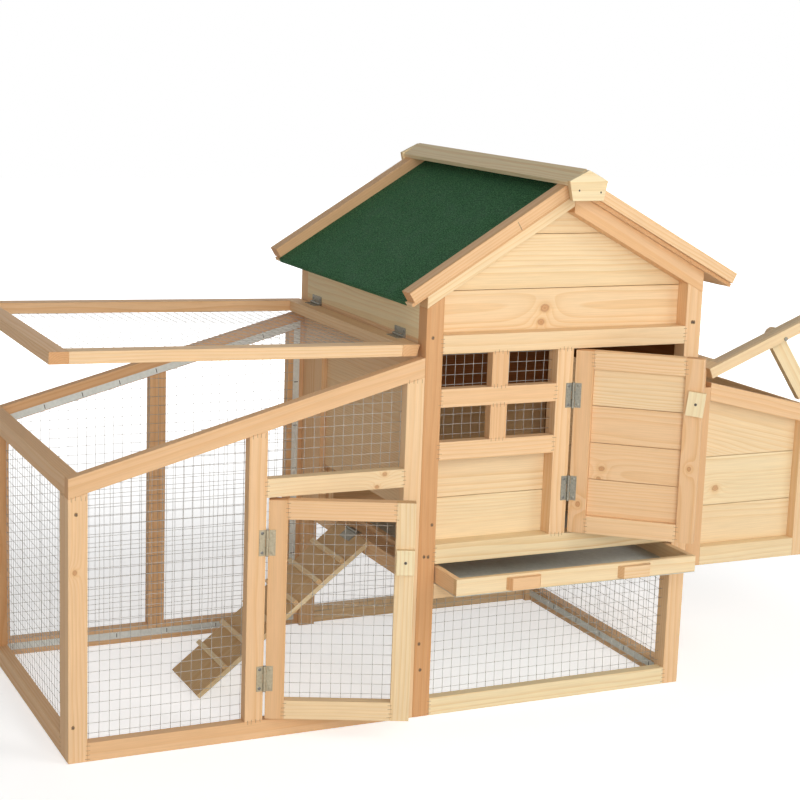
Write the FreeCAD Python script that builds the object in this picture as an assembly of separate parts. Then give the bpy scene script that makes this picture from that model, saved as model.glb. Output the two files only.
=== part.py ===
import FreeCAD, Part
import math
import os

# Duck house on legs with a wire run on its left and a nest box on its right.
# All sizes are in millimetres. While it is being built, the origin is the bottom of the
# house's front left post, at its outer corner: +X to the right, +Y to the back, +Z up.
# At the end everything moves so that the origin lies under the middle of the whole.

# Timber, sheet and wire
batten = 35.0             # side of a post, and wide face of a batten
thin = 22.0               # narrow face of a batten
board = 10.0              # front, back and nest boards
side_board = 12.0         # boards of the left and right walls
wire = 1.0                # thickness of the welded wire
mesh_pitch = 19.0         # spacing of the welded wires
most_gaps = 280           # a net has wider gaps rather than more than this
mesh_lap = 10.0           # how far a net reaches behind its frame
clearance = 0.3           # between two bodies that pass or rest on each other
running_gap = 2.5         # round a door in its opening

# House
house_width = 600.0
house_depth = 620.0
floor_rail_bottom = 256.0
floor_rail_height = 33.0
tray_bottom = 264.0
tray_height = 33.0
fascia_height = 38.0
door_opening_height = 365.0
window_width = 105.0
panel_height = 163.0      # boarded part below the windows
front_board_height = 82.0
window_height = 66.0
wall_top = 791.0          # underside of the left rafters at the wall's outer face
gable_joint_first = 78.0  # height of the lowest gable board that shows
gable_joint_second = 104.0
back_board_height = 104.0

# Roof
left_roof_angle = 31.75
right_roof_angle = 27.9
left_rafter_height = 23.3
right_rafter_height = 35.0
left_roof_length = 394.0  # down the slope, from the ridge
right_roof_length = 401.0
roof_front = -20.4
roof_back = 690.0
deck_thickness = 7.0
deck_inset = 8.0          # how far the roof boards stop short of the edge battens' faces
felt_thickness = 1.6
cap_width = 39.0
cap_thickness = 10.0
cap_overhang = 16.0
plate_thickness = 11.0
plate_height = 57.0
plate_shoulder = 41.0     # half its width at its widest
plate_shoulder_drop = 20.0
plate_foot = 33.0         # half its width at the bottom

# Left wall of the house
lid_board_bottom = 730.0
pop_doorway_front = 105.0
pop_doorway_back = 495.0
pop_doorway_top = 628.0
pop_door_lap = 10.0
pop_door_lift = 95.0      # raised from closed
guide_width = 15.0
guide_cover = 30.0

# Run
run_length = 670.0
run_low = 517.3           # top of its sloping rails at the far end
run_high = 699.9          # and at the house
door_head = 457.0
run_door_opening = 271.0
lid_front = 17.0
lid_width = 603.0
lid_overhang = 4.0
lid_rest_angle = 16.4     # raised from closed
strip_width = 14.0
strip_from_edge = 2.0     # wood that shows between a strip and its rail's lower edge
strip_bottom = 12.0       # height of the strips along the ground rails
strip_thickness = 1.0

# Doors
run_door_rest_angle = 22.6
house_door_rest_angle = 39.2
run_door_bottom = 37.5
run_door_height = 416.0
run_door_rail = 36.0
door_board_count = 4
button_width = 33.0
button_height = 47.0
button_thickness = 9.0
run_button_height = 344.0
house_button_height = 616.7
house_button_tilt = 5.3
button_past_edge = 4.4    # how far past the door's edge the house button's middle would reach

# Hinges
hinge_length = 48.0
leaf_width = 15.0
leaf_thickness = 1.2
knuckle_radius = 2.8
pin_radius = 1.5
pin_play = 0.05
knuckle_gap = 0.3
screw_head_radius = 3.0
screw_head_height = 0.8
screw_radius = 1.4
screw_length = 9.0
screw_place = 0.38        # from the middle of a hinge, as a share of its length
nail_head_radius = 2.6
nail_radius = 1.3

# Ramp, tray and nest box
ramp_front = 230.0
ramp_width = 158.0
ramp_thickness = 10.0
ramp_angle = 38.4
ramp_sill_leaf = 11.0      # width of the ramp hinge's leaf on the sill
ramp_leaf = 24.0           # and on the ramp
ramp_end_gap = 1.2         # between the ramp's upper end and the house's side
cleat_size = 10.0
cleat_first = 62.0
cleat_spacing = 62.0
tray_pulled = 91.0
tray_board = 12.0
tray_side_gap = 2.0
tray_back_gap = 5.0
tray_sheet = 1.0
runner_height = 30.0
handle_width = 74.0
handle_height = 24.0
handle_depth = 12.0
handle_bevel = 8.0
handle_inset = 141.5
nest_length = 300.0
nest_bottom = 245.0
nest_rail_height = 38.0
nest_high = 622.8         # top of its sloping rails at the inner posts
nest_angle = 13.6
nest_board_first = 81.0
nest_board_second = 101.0
nest_doorway_top = 597.0
nest_lid_overhang = 25.0
nest_lid_rest_angle = 35.8
nest_sheet = 2.0
prop_thickness = 15.0
prop_pivot_run = 192.0    # from the lid's pin to the prop's bolt
prop_pivot_rise = 4.0     # from the underside of the lid's rail
prop_angle = 55.3         # below level, as it stands
prop_foot_angle = 50.0    # of the foot's cut, above level
bolt_radius = 2.0
bolt_head_radius = 4.0
bolt_head_height = 2.0

V = FreeCAD.Vector
AXIS_X = V(1, 0, 0)
AXIS_Y = V(0, 1, 0)
AXIS_Z = V(0, 0, 1)

# Sizes that follow from the ones above
tray_top = tray_bottom + tray_height
fascia_bottom = tray_top + 5.0
fascia_top = fascia_bottom + fascia_height
door_top = fascia_top + door_opening_height
top_rail_top = door_top + batten
window_rail = fascia_top + panel_height
middle_rail = window_rail + batten + window_height
stile_left = batten + 2 * window_width + batten
stile_right = stile_left + batten
floor_rail_top = floor_rail_bottom + floor_rail_height
ridge_x = house_width / 2
left_roof = math.radians(left_roof_angle)
right_roof = math.radians(right_roof_angle)
rafter_top_at_ridge = wall_top + math.tan(left_roof) * ridge_x + left_rafter_height / math.cos(left_roof)
inner_left = batten
inner_right = house_width - batten
inner_back = house_depth - batten
run_slope = (run_high - run_low) / run_length
run_angle = math.degrees(math.atan(run_slope))
nest_slope = math.tan(math.radians(nest_angle))
nest_end = house_width + nest_length
nest_floor_top = nest_bottom + nest_rail_height
runner_top = tray_bottom - clearance
runner_bottom = runner_top - runner_height


def block(x0, x1, y0, y1, z0, z1):
    """A box between the given limits."""
    return Part.makeBox(x1 - x0, y1 - y0, z1 - z0, V(x0, y0, z0))


def prism_along_y(points, y0, y1):
    """A prism whose (x, z) outline runs from y0 to y1."""
    corners = [V(x, y0, z) for x, z in points]
    return Part.Face(Part.makePolygon(corners + corners[:1])).extrude(V(0, y1 - y0, 0))


def turned(solids, pivot, axis, angle):
    """Copies of the solids, turned about an axis through the pivot."""
    copies = [solid.copy() for solid in solids]
    for copy in copies:
        copy.rotate(pivot, axis, angle)
    return copies


def moved(solids, step):
    """Copies of the solids, moved by a vector."""
    copies = [solid.copy() for solid in solids]
    for copy in copies:
        copy.translate(step)
    return copies


def turned_point(point, pivot, axis, angle):
    """A point turned about an axis through the pivot."""
    return pivot + FreeCAD.Rotation(axis, angle).multVec(point - pivot)


def set_in(shape, origin, along, outward):
    """Places a shape built round the origin: its X runs along, its -Y points outward."""
    inward = outward * -1
    up = along.cross(inward)
    matrix = FreeCAD.Matrix(along.x, inward.x, up.x, origin.x,
                            along.y, inward.y, up.y, origin.y,
                            along.z, inward.z, up.z, origin.z,
                            0, 0, 0, 1)
    return shape.transformed(matrix, True)


def cut_by_line(points, start, end, margin):
    """The part of a convex outline that lies at least margin to the left of a line."""
    length = math.hypot(end[0] - start[0], end[1] - start[1])
    normal = ((start[1] - end[1]) / length, (end[0] - start[0]) / length)

    def depth(point):
        return (point[0] - start[0]) * normal[0] + (point[1] - start[1]) * normal[1] - margin

    kept = []
    for here, following in zip(points, points[1:] + points[:1]):
        a = depth(here)
        b = depth(following)
        if a >= 0:
            kept.append(here)
        if a * b < 0:
            share = a / (a - b)
            kept.append((here[0] + share * (following[0] - here[0]),
                         here[1] + share * (following[1] - here[1])))
    return kept


def clipped(points, outline, margin=0.0):
    """The part of a convex outline inside another, both turning left."""
    for start, end in zip(outline, outline[1:] + outline[:1]):
        if points:
            points = cut_by_line(points, start, end, margin)
    return points


def area_of(points):
    """The area inside an outline that turns left."""
    pairs = zip(points, points[1:] + points[:1])
    return sum(a[0] * b[1] - b[0] * a[1] for a, b in pairs) / 2


def net(outline, place, thickness):
    """Welded wire as one holed sheet. place turns (u, v) into a point, thickness is a vector."""
    pitch = max(mesh_pitch, math.sqrt(area_of(outline) / most_gaps))
    low_u = min(u for u, v in outline)
    low_v = min(v for u, v in outline)
    columns = int((max(u for u, v in outline) - low_u) / pitch) + 1
    rows = int((max(v for u, v in outline) - low_v) / pitch) + 1
    gap = pitch - wire
    loops = [outline]
    for column in range(columns):
        for row in range(rows):
            u = low_u + wire + column * pitch
            v = low_v + wire + row * pitch
            cell = clipped([(u, v), (u + gap, v), (u + gap, v + gap), (u, v + gap)], outline, wire)
            if len(cell) > 2 and area_of(cell) > 4 * wire * gap:
                loops.append(cell)
    wires = []
    for loop in loops:
        corners = [place(u, v) for u, v in loop]
        wires.append(Part.makePolygon(corners + corners[:1]))
    return Part.makeFace(wires, "Part::FaceMakerBullseye").extrude(thickness)


def run_top(x):
    """Height of the run's sloping rails."""
    return run_high + run_slope * x


def nest_top(x):
    """Height of the nest's sloping rails."""
    return nest_high - nest_slope * (x - house_width - batten)


# The nest lid's pin lies beside the batten on the wall, level with its top.
nest_pin_x = house_width + thin + 2 * clearance
nest_pin_z = nest_top(nest_pin_x) + (thin + clearance + knuckle_radius) / math.cos(math.radians(nest_angle))
nest_pin = V(nest_pin_x, 0, nest_pin_z)
nest_batten_bottom = nest_pin_z - knuckle_radius - batten


def slope_outline(side, angle, foot_at_ridge, start, length, thickness):
    """Outline of a piece on one side of the roof. It is cut upright where it starts at the ridge."""
    tilt = math.radians(angle)
    down = (side * math.cos(tilt), -math.sin(tilt))
    up = (side * math.sin(tilt), math.cos(tilt))

    def at(run, rise):
        return (ridge_x + run * down[0] + rise * up[0], foot_at_ridge + run * down[1] + rise * up[1])

    if start > 0:
        inner = [at(start, 0), at(start, thickness)]
    else:
        inner = [(ridge_x, foot_at_ridge), (ridge_x, foot_at_ridge + thickness / math.cos(tilt))]
    return [inner[0], at(length, 0), at(length, thickness), inner[1]]


def roof_halves():
    """Side, angle and length of the two halves of the roof."""
    return [(-1, left_roof_angle, left_roof_length), (1, right_roof_angle, right_roof_length)]


def roof_height(x):
    """Height of the rafters' upper side, which the roof boards lie on."""
    slope = math.tan(left_roof) if x < ridge_x else math.tan(right_roof)
    return rafter_top_at_ridge - slope * abs(x - ridge_x)


def rafter_foot(x):
    """Height of the rafters' underside."""
    if x < ridge_x:
        return roof_height(x) - left_rafter_height / math.cos(left_roof)
    return roof_height(x) - right_rafter_height / math.cos(right_roof)


# The house's frame and walls

def house_posts():
    """Four corner posts, their tops cut to the slope of the rafters."""
    posts = []
    for y in (0, inner_back):
        for side in (-1, 1):
            outer = ridge_x + side * ridge_x
            inner = outer - side * batten
            outline = [(outer, 0), (inner, 0), (inner, rafter_foot(inner)), (outer, rafter_foot(outer))]
            posts.append(prism_along_y(outline, y, y + batten))
    return posts


def house_front_rails():
    """Rail over the door, fascia over the tray, sill under it and rail at the ground."""
    return [block(inner_left, inner_right, 0, batten, door_top, top_rail_top),
            block(inner_left, inner_right, 0, batten, fascia_bottom, fascia_top),
            block(inner_left, inner_right, 0, thin, runner_bottom, runner_top),
            block(inner_left, inner_right, 0, thin, 0, batten)]


def window_frame():
    """Rails and mullions of the four small windows, and the stile that carries the door."""
    rails = [block(inner_left, stile_left, 0, thin, z, z + batten) for z in (window_rail, middle_rail)]
    mullion = inner_left + window_width
    for low, high in ((window_rail + batten, middle_rail), (middle_rail + batten, door_top)):
        rails.append(block(mullion, mullion + batten, 0, thin, low, high))
    rails.append(block(stile_left, stile_right, 0, batten, fascia_top, door_top))
    return rails


def window_mesh():
    """Net behind the small windows."""
    low = window_rail + batten - mesh_lap
    outline = [(inner_left, low), (stile_left, low), (stile_left, door_top), (inner_left, door_top)]
    return [net(outline, lambda u, v: V(u, thin, v), V(0, wire, 0))]


def house_front_boards():
    """Boards behind the front frame, below the windows."""
    left = side_board + clearance
    right = stile_left + batten / 2
    joint = fascia_top + front_board_height
    top = window_rail + mesh_lap - clearance
    return [block(left, right, batten, batten + board, fascia_bottom, joint),
            block(left, right, batten, batten + board, joint, top)]


def gable_boards():
    """Boards that close the two gables, up to the roof."""
    left = side_board + clearance
    right = house_width - left
    low = door_top
    gable = [(left, low), (right, low), (right, roof_height(right)),
             (ridge_x, roof_height(ridge_x)), (left, roof_height(left))]
    first = top_rail_top + gable_joint_first
    joints = [low, first, first + gable_joint_second, roof_height(ridge_x)]
    boards = []
    for y in (batten, inner_back - board):
        for bottom, top in zip(joints, joints[1:]):
            band = [(left, bottom), (right, bottom), (right, top), (left, top)]
            boards.append(prism_along_y(clipped(band, gable), y, y + board))
    return boards


def house_back_rails():
    """Rails between the back posts: at the top, under the boards and at the ground."""
    return [block(inner_left, inner_right, inner_back, house_depth, door_top, top_rail_top),
            block(inner_left, inner_right, inner_back, house_depth, floor_rail_bottom, floor_rail_top),
            block(inner_left, inner_right, house_depth - thin, house_depth, 0, batten)]


def back_wall_boards():
    """Boards of the back wall, below the gable."""
    left = side_board + clearance
    right = house_width - left
    boards = []
    bottom = floor_rail_top
    while bottom < door_top:
        top = min(bottom + back_board_height, door_top)
        boards.append(block(left, right, inner_back - board, inner_back, bottom, top))
        bottom = top
    return boards


def house_side_rails():
    """Rails along both sides at floor level, and one at the ground on the right."""
    return [block(0, batten, batten, inner_back, floor_rail_bottom, floor_rail_top),
            block(inner_right, house_width, batten, inner_back, floor_rail_bottom, floor_rail_top),
            block(house_width - thin, house_width, batten, inner_back, 0, batten)]


def left_wall_boards():
    """Board over the pop doorway and an upright board on each side of it."""
    return [block(0, side_board, batten, inner_back, pop_doorway_top, lid_board_bottom),
            block(0, side_board, batten, pop_doorway_front, floor_rail_top, pop_doorway_top),
            block(0, side_board, pop_doorway_back, inner_back, floor_rail_top, pop_doorway_top)]


def eave_boards():
    """Board under each eave. The left one carries the hinges of the run's lid."""
    return [block(0, side_board, batten, inner_back, lid_board_bottom, roof_height(0)),
            block(house_width - side_board, house_width, batten, inner_back, lid_board_bottom,
                  roof_height(house_width))]


def pop_door_guides():
    """On each side of the pop door, a spacer and a strip that holds the panel to the wall."""
    slot = side_board + board + 2 * clearance
    guides = []
    for edge, outward in ((pop_doorway_front - pop_door_lap - clearance, -1),
                          (pop_doorway_back + pop_door_lap + clearance, 1)):
        low, high = sorted((edge, edge + outward * guide_width))
        guides.append(block(side_board, slot, low, high, floor_rail_top, roof_height(0)))
        low, high = sorted((edge + outward * guide_width, edge + outward * (guide_width - guide_cover)))
        guides.append(block(slot, slot + board, low, high, floor_rail_top, roof_height(0)))
    return guides


def right_wall_boards():
    """Boards over the nest's doorway and beside it."""
    left = house_width - side_board
    front = pop_doorway_front
    back = house_depth - pop_doorway_front
    return [block(left, house_width, batten, inner_back, nest_doorway_top, lid_board_bottom),
            block(left, house_width, batten, front, floor_rail_top, nest_doorway_top),
            block(left, house_width, back, inner_back, floor_rail_top, nest_doorway_top)]


def tray_runners():
    """Battens that the tray slides on."""
    return [block(x, x + thin, batten, inner_back, runner_bottom, runner_top)
            for x in (batten, inner_right - thin)]


def upright_outline(left, right, low, high):
    """Outline of an upright net."""
    return [(left, low), (right, low), (right, high), (left, high)]


def base_mesh():
    """Nets at ground level: front, right and back of the space under the house."""
    low = batten - mesh_lap
    front = upright_outline(inner_left, inner_right, low, runner_bottom + mesh_lap)
    side = upright_outline(batten, inner_back, low - mesh_lap, floor_rail_bottom)
    rear = upright_outline(inner_left, inner_right, low, floor_rail_bottom)
    rear_y = house_depth - thin - wire
    return [net(front, lambda u, v: V(u, thin, v), V(0, wire, 0)),
            net(side, lambda u, v: V(house_width - thin - wire, u, v), V(wire, 0, 0)),
            net(rear, lambda u, v: V(u, rear_y, v), V(0, wire, 0))]


# The roof

def rafters():
    """A pair of rafters in each gable, cut upright at the ridge and at the walls' outer faces."""
    left_foot = rafter_top_at_ridge - left_rafter_height / math.cos(left_roof)
    left = [(ridge_x, rafter_top_at_ridge), (0, roof_height(0)), (0, wall_top), (ridge_x, left_foot)]
    right = [(ridge_x, rafter_top_at_ridge), (ridge_x, rafter_foot(ridge_x)),
             (house_width, rafter_foot(house_width)), (house_width, roof_height(house_width))]
    return [prism_along_y(outline, y, y + batten) for y in (0, inner_back) for outline in (left, right)]


def roof_decks():
    """Roof boards on the rafters."""
    return [prism_along_y(slope_outline(side, angle, rafter_top_at_ridge, 0, length, deck_thickness),
                          roof_front + deck_inset, roof_back - deck_inset)
            for side, angle, length in roof_halves()]


def deck_top_at_ridge(angle):
    """Height of the roof boards' upper side at the ridge."""
    return rafter_top_at_ridge + deck_thickness / math.cos(math.radians(angle))


def roof_felts():
    """Mineral felt on the roof boards, between the edge battens."""
    felts = []
    for side, angle, length in roof_halves():
        outline = slope_outline(side, angle, deck_top_at_ridge(angle), 0, length, felt_thickness)
        felts.append(prism_along_y(outline, roof_front + batten, roof_back - batten))
    return felts


def roof_edge_battens():
    """Battens along the sloping edges of the roof, front and back."""
    solids = []
    for side, angle, length in roof_halves():
        outline = slope_outline(side, angle, deck_top_at_ridge(angle), 0, length, thin)
        for y in (roof_front, roof_back - batten):
            solids.append(prism_along_y(outline, y, y + batten))
    return solids


def cap_foot(angle):
    """Height of the ridge cap's underside at the ridge."""
    return deck_top_at_ridge(angle) + thin / math.cos(math.radians(angle))


def ridge_cap():
    """Two boards over the ridge."""
    return [prism_along_y(slope_outline(side, angle, cap_foot(angle), 0, cap_width, cap_thickness),
                          roof_front - cap_overhang, roof_back)
            for side, angle, length in roof_halves()]


def ridge_end_plates():
    """Five-sided plates nailed to the ends of the ridge cap."""
    peak = cap_foot(left_roof_angle) + cap_thickness
    low = peak - plate_height
    shoulder = peak - plate_shoulder_drop
    outline = [(ridge_x - plate_foot, low), (ridge_x + plate_foot, low),
               (ridge_x + plate_shoulder, shoulder), (ridge_x, peak), (ridge_x - plate_shoulder, shoulder)]
    front = roof_front - cap_overhang
    return [prism_along_y(outline, front - plate_thickness, front),
            prism_along_y(outline, roof_back, roof_back + plate_thickness)]


# The run

def run_side_frame(y, stiles):
    """Sloping top rail, ground rail and stiles of a long side of the run."""
    fall = batten / math.cos(math.radians(run_angle))
    solids = [prism_along_y([(-run_length, run_low - fall), (0, run_high - fall), (0, run_high),
                             (-run_length, run_low)], y, y + thin),
              block(-run_length + batten, -batten, y, y + thin, 0, batten)]
    for left, bottom in stiles:
        right = left + batten
        outline = [(left, bottom), (right, bottom), (right, run_top(right) - fall), (left, run_top(left) - fall)]
        solids.append(prism_along_y(outline, y, y + thin))
    return solids


middle_stile = -batten - run_door_opening - batten


def run_front_frame():
    """Front of the run, with the rail over its door."""
    solids = run_side_frame(0, [(-run_length, 0), (middle_stile, batten), (-batten, 0)])
    solids.append(block(middle_stile + batten, -batten, 0, thin, door_head, door_head + batten))
    return solids


def run_back_frame():
    """Back of the run."""
    return run_side_frame(house_depth - thin, [(-run_length, 0), (middle_stile, batten), (-batten, 0)])


def run_end_frame():
    """Low end of the run, between its long sides."""
    left = -run_length
    right = left + thin
    front = thin
    back = house_depth - thin
    top_rail = [(left, run_low - batten), (right, run_low - batten), (right, run_top(right)), (left, run_low)]
    return [block(left, right, front, front + batten, 0, run_low - batten),
            block(left, right, back - batten, back, 0, run_low - batten),
            prism_along_y(top_rail, front, back),
            block(left, right, front + batten, back - batten, 0, batten)]


def run_front_mesh():
    """Nets behind the front of the run: left of the middle stile, and over the door."""
    fall = batten / math.cos(math.radians(run_angle)) - mesh_lap
    left = -run_length + thin + wire + clearance
    split = middle_stile + batten / 2
    low = batten - mesh_lap
    over = door_head + batten - mesh_lap
    panels = [[(left, low), (split, low), (split, run_top(split) - fall), (left, run_top(left) - fall)],
              [(split + wire, over), (-batten + mesh_lap, over),
               (-batten + mesh_lap, run_top(-batten + mesh_lap) - fall), (split + wire, run_top(split + wire) - fall)]]
    return [net(panel, lambda u, v: V(u, thin, v), V(0, wire, 0)) for panel in panels]


def run_back_mesh():
    """Nets inside the back of the run, left and right of its middle stile."""
    fall = batten / math.cos(math.radians(run_angle)) - mesh_lap
    left = -run_length + thin + wire + clearance
    split = middle_stile + batten / 2
    low = batten - 2 * mesh_lap
    y = house_depth - thin - wire
    panels = []
    for start, end in ((left, split), (split + wire, -mesh_lap)):
        panels.append([(start, low), (end, low), (end, run_top(end) - fall), (start, run_top(start) - fall)])
    return [net(panel, lambda u, v: V(u, y, v), V(0, wire, 0)) for panel in panels]


def run_end_mesh():
    """Net inside the low end of the run."""
    front = thin + wire + clearance
    back = house_depth - front
    low = batten - mesh_lap
    high = run_low - batten + mesh_lap
    outline = [(front, low), (back, low), (back, high), (front, high)]
    return [net(outline, lambda u, v: V(-run_length + thin, u, v), V(wire, 0, 0))]


def mesh_edge_strips():
    """Strips stapled over the edges of the nets at the back of the run and under the house."""
    y1 = house_depth - thin - wire
    y0 = y1 - strip_thickness
    left = -run_length + thin + wire + strip_thickness
    drop = (batten - strip_from_edge) / math.cos(math.radians(run_angle))
    rise = strip_width / math.cos(math.radians(run_angle))
    right = -mesh_lap
    top = [(left, run_top(left) - drop), (right, run_top(right) - drop),
           (right, run_top(right) - drop + rise), (left, run_top(left) - drop + rise)]
    low = strip_bottom
    upright_top = run_top(right - strip_width) - drop
    x1 = house_width - thin - wire
    x0 = x1 - strip_thickness
    return [prism_along_y(top, y0, y1),
            block(right - strip_width, right, y0, y1, low + strip_width, upright_top),
            block(left, right, y0, y1, low, low + strip_width),
            block(x0, x1, batten, inner_back, low, low + strip_width),
            block(x0, x1, batten, batten + strip_width, low + strip_width, floor_rail_bottom)]


# The nest box

def nest_frame():
    """Posts, sloping rails and bottom rails of the nest box, and the batten its lid hangs on."""
    fall = batten / math.cos(math.radians(nest_angle))
    inner = house_width + batten
    outer = nest_end - batten
    solids = [block(house_width, house_width + thin, 0, house_depth, nest_batten_bottom,
                    nest_batten_bottom + batten)]
    for y in (0, inner_back):
        solids.append(block(house_width, inner, y, y + batten, nest_bottom, nest_batten_bottom))
        outline = [(outer, nest_bottom), (nest_end, nest_bottom), (nest_end, nest_top(nest_end) - fall),
                   (outer, nest_top(outer) - fall)]
        solids.append(prism_along_y(outline, y, y + batten))
    for y in (0, house_depth - thin):
        outline = [(inner, nest_top(inner) - fall), (nest_end, nest_top(nest_end) - fall),
                   (nest_end, nest_top(nest_end)), (inner, nest_top(inner))]
        solids.append(prism_along_y(outline, y, y + thin))
        solids.append(block(inner, outer, y, y + thin, nest_bottom, nest_floor_top))
    rail_in = nest_end - thin
    end_rail = [(rail_in, nest_top(nest_end) - fall), (nest_end, nest_top(nest_end) - fall),
                (nest_end, nest_top(nest_end)), (rail_in, nest_top(rail_in))]
    solids.append(prism_along_y(end_rail, thin, house_depth - thin))
    solids.append(block(rail_in, nest_end, batten, inner_back, nest_bottom, nest_floor_top))
    return solids


def nest_wall_boards():
    """Boards of the nest's front, back and end."""
    fall = mesh_lap / math.cos(math.radians(nest_angle))
    left = house_width + batten
    right = nest_end - batten
    first = nest_floor_top + nest_board_first
    joints = [nest_floor_top, first, first + nest_board_second, nest_high]
    wall = [(left, nest_floor_top), (right, nest_floor_top), (right, nest_top(right) - fall),
            (left, nest_top(left) - fall)]
    solids = []
    for y in (thin, house_depth - thin - board):
        for bottom, top in zip(joints, joints[1:]):
            band = [(left, bottom), (right, bottom), (right, top), (left, top)]
            solids.append(prism_along_y(clipped(band, wall), y, y + board))
    end_joints = joints[:3] + [nest_top(nest_end) - batten + mesh_lap]
    x1 = nest_end - thin
    for bottom, top in zip(end_joints, end_joints[1:]):
        solids.append(block(x1 - board, x1, batten, inner_back, bottom, top))
    return solids


def nest_floor():
    """Floor of the nest."""
    left = house_width + batten
    return [block(left, nest_end - batten, thin, house_depth - thin, nest_floor_top - board, nest_floor_top),
            block(house_width, left, batten, inner_back, nest_floor_top - board, nest_floor_top),
            block(nest_end - batten, nest_end - thin, batten, inner_back, nest_floor_top - board,
                  nest_floor_top)]


# Hinges: each has a fixed leaf with two knuckles, a moving leaf with one, and a pin

def knuckle(low, high):
    """A tube round the pin, between two heights."""
    tube = Part.makeCylinder(knuckle_radius, high - low, V(0, 0, low))
    return tube.cut(Part.makeCylinder(pin_radius + pin_play, high - low, V(0, 0, low)))


def hinge_leaf(is_fixed, width):
    """A leaf round a pin on the Z axis, reaching along +X, with its back at +Y."""
    half = hinge_length / 2
    third = hinge_length / 6
    start = knuckle_radius + 2 * knuckle_gap
    back = knuckle_radius
    front = knuckle_radius - leaf_thickness
    if is_fixed:
        spans = [(-half, -third - knuckle_gap / 2), (third + knuckle_gap / 2, half)]
    else:
        spans = [(-third + knuckle_gap / 2, third - knuckle_gap / 2)]
    leaf = block(start, width, front, back, -half, half)
    for low, high in spans:
        tab = block(0, start, front, back, low, high)
        bore = Part.makeCylinder(pin_radius + pin_play, high - low, V(0, 0, low))
        leaf = leaf.fuse(tab.cut(bore)).fuse(knuckle(low, high))
    for height in (-hinge_length * screw_place, hinge_length * screw_place):
        middle = V((start + width) / 2, front - 1, height)
        leaf = leaf.cut(Part.makeCylinder(screw_radius, leaf_thickness + 2, middle, AXIS_Y))
    return leaf.removeSplitter()


def leaf_screws(width):
    """The two screws of a leaf, built in the leaf's own place."""
    start = knuckle_radius + 2 * knuckle_gap
    front = knuckle_radius - leaf_thickness
    screws = []
    for height in (-hinge_length * screw_place, hinge_length * screw_place):
        seat = V((start + width) / 2, front, height)
        head = Part.makeCone(screw_head_radius, screw_head_radius / 2, screw_head_height, seat, V(0, -1, 0))
        shank = Part.makeCylinder(screw_radius, screw_length, seat, AXIS_Y)
        screws.append(head.fuse(shank).removeSplitter())
    return screws


def hinge_pin():
    """The pin of a hinge, with a small head at each end."""
    half = hinge_length / 2
    pin = Part.makeCylinder(pin_radius, hinge_length, V(0, 0, -half))
    for z in (-half - wire, half):
        pin = pin.fuse(Part.makeCylinder(knuckle_radius, wire, V(0, 0, z)))
    return pin.removeSplitter()


def lid_tilt(angle):
    """Direction along a lid and its outward normal, for a slope that falls to the left."""
    tilt = math.radians(angle)
    return V(-math.cos(tilt), 0, -math.sin(tilt)), V(-math.sin(tilt), 0, math.cos(tilt))


def nest_lid_tilt():
    """Direction along the closed nest lid and its outward normal."""
    tilt = math.radians(nest_angle)
    return V(math.cos(tilt), 0, -math.sin(tilt)), V(math.sin(tilt), 0, math.cos(tilt))


# The pins stand a knuckle's radius off both faces that their leaves are screwed to.
cos_run = math.cos(math.radians(run_angle))
cos_nest = math.cos(math.radians(nest_angle))
lid_pin = V(-knuckle_radius, 0, run_top(-knuckle_radius) + (thin + clearance + knuckle_radius) / cos_run)
house_door_pin = V(stile_right + running_gap / 2, -knuckle_radius, 0)
run_door_pin = V(middle_stile + batten + running_gap / 2, -knuckle_radius, 0)
ramp_pin = V(-knuckle_radius / 2 - clearance, 0, floor_rail_top + knuckle_radius)

lid_hinge_places = (114.0, 530.0)
run_door_hinge_places = (116.0, 374.0)
house_door_hinge_places = (431.0, 614.5)
nest_hinge_places = (120.0, house_depth - 120.0)
ramp_hinge_places = (ramp_front + ramp_width / 2,)


def ramp_tilt():
    """Direction down the ramp and the outward normal of its top."""
    tilt = math.radians(ramp_angle)
    return V(-math.cos(tilt), 0, -math.sin(tilt)), V(-math.sin(tilt), 0, math.cos(tilt))


def hinge_sets():
    """For each hinged piece: its pin, the pin's axis, the hinges' places along it, and the fixed
    and the moving leaf, each with its width, its direction and the way it faces."""
    run_along, run_face = lid_tilt(run_angle)
    nest_along, nest_face = nest_lid_tilt()
    ramp_along, ramp_face = ramp_tilt()
    left = V(-1, 0, 0)
    front = V(0, -1, 0)
    on_left_stile = (leaf_width, left, front)
    on_door = (leaf_width, AXIS_X, front)
    return {
        "run_lid": (lid_pin, AXIS_Y, lid_hinge_places, (leaf_width, AXIS_Z, left),
                    (leaf_width, run_along, run_face)),
        "run_door": (run_door_pin, AXIS_Z, run_door_hinge_places, on_left_stile, on_door),
        "house_door": (house_door_pin, AXIS_Z, house_door_hinge_places, on_left_stile, on_door),
        "nest_lid": (nest_pin, AXIS_Y, nest_hinge_places, (leaf_width, left, AXIS_Z),
                     (leaf_width, nest_along, nest_face)),
        "ramp": (ramp_pin, AXIS_Y, ramp_hinge_places, (ramp_sill_leaf, AXIS_X, AXIS_Z),
                 (ramp_leaf, ramp_along, ramp_face)),
    }


def fixed_hinge_parts(kind):
    """Fixed leaves, their screws or the pins, for every hinge."""
    solids = []
    for pin, axis, places, fixed, moving in hinge_sets().values():
        width, along, face = fixed
        pieces = {"leaf": [hinge_leaf(True, width)], "screw": leaf_screws(width), "pin": [hinge_pin()]}
        for place in places:
            solids += [set_in(piece, pin + axis * place, along, face) for piece in pieces[kind]]
    return solids


def moving_leaves(name):
    """Moving leaves of one hinged piece and their screws, closed."""
    pin, axis, places, fixed, moving = hinge_sets()[name]
    width, along, face = moving
    solids = []
    for place in places:
        for piece in [hinge_leaf(False, width)] + leaf_screws(width):
            solids.append(set_in(piece, pin + axis * place, along, face))
    return solids


# The run's lid, closed and then raised

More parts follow.
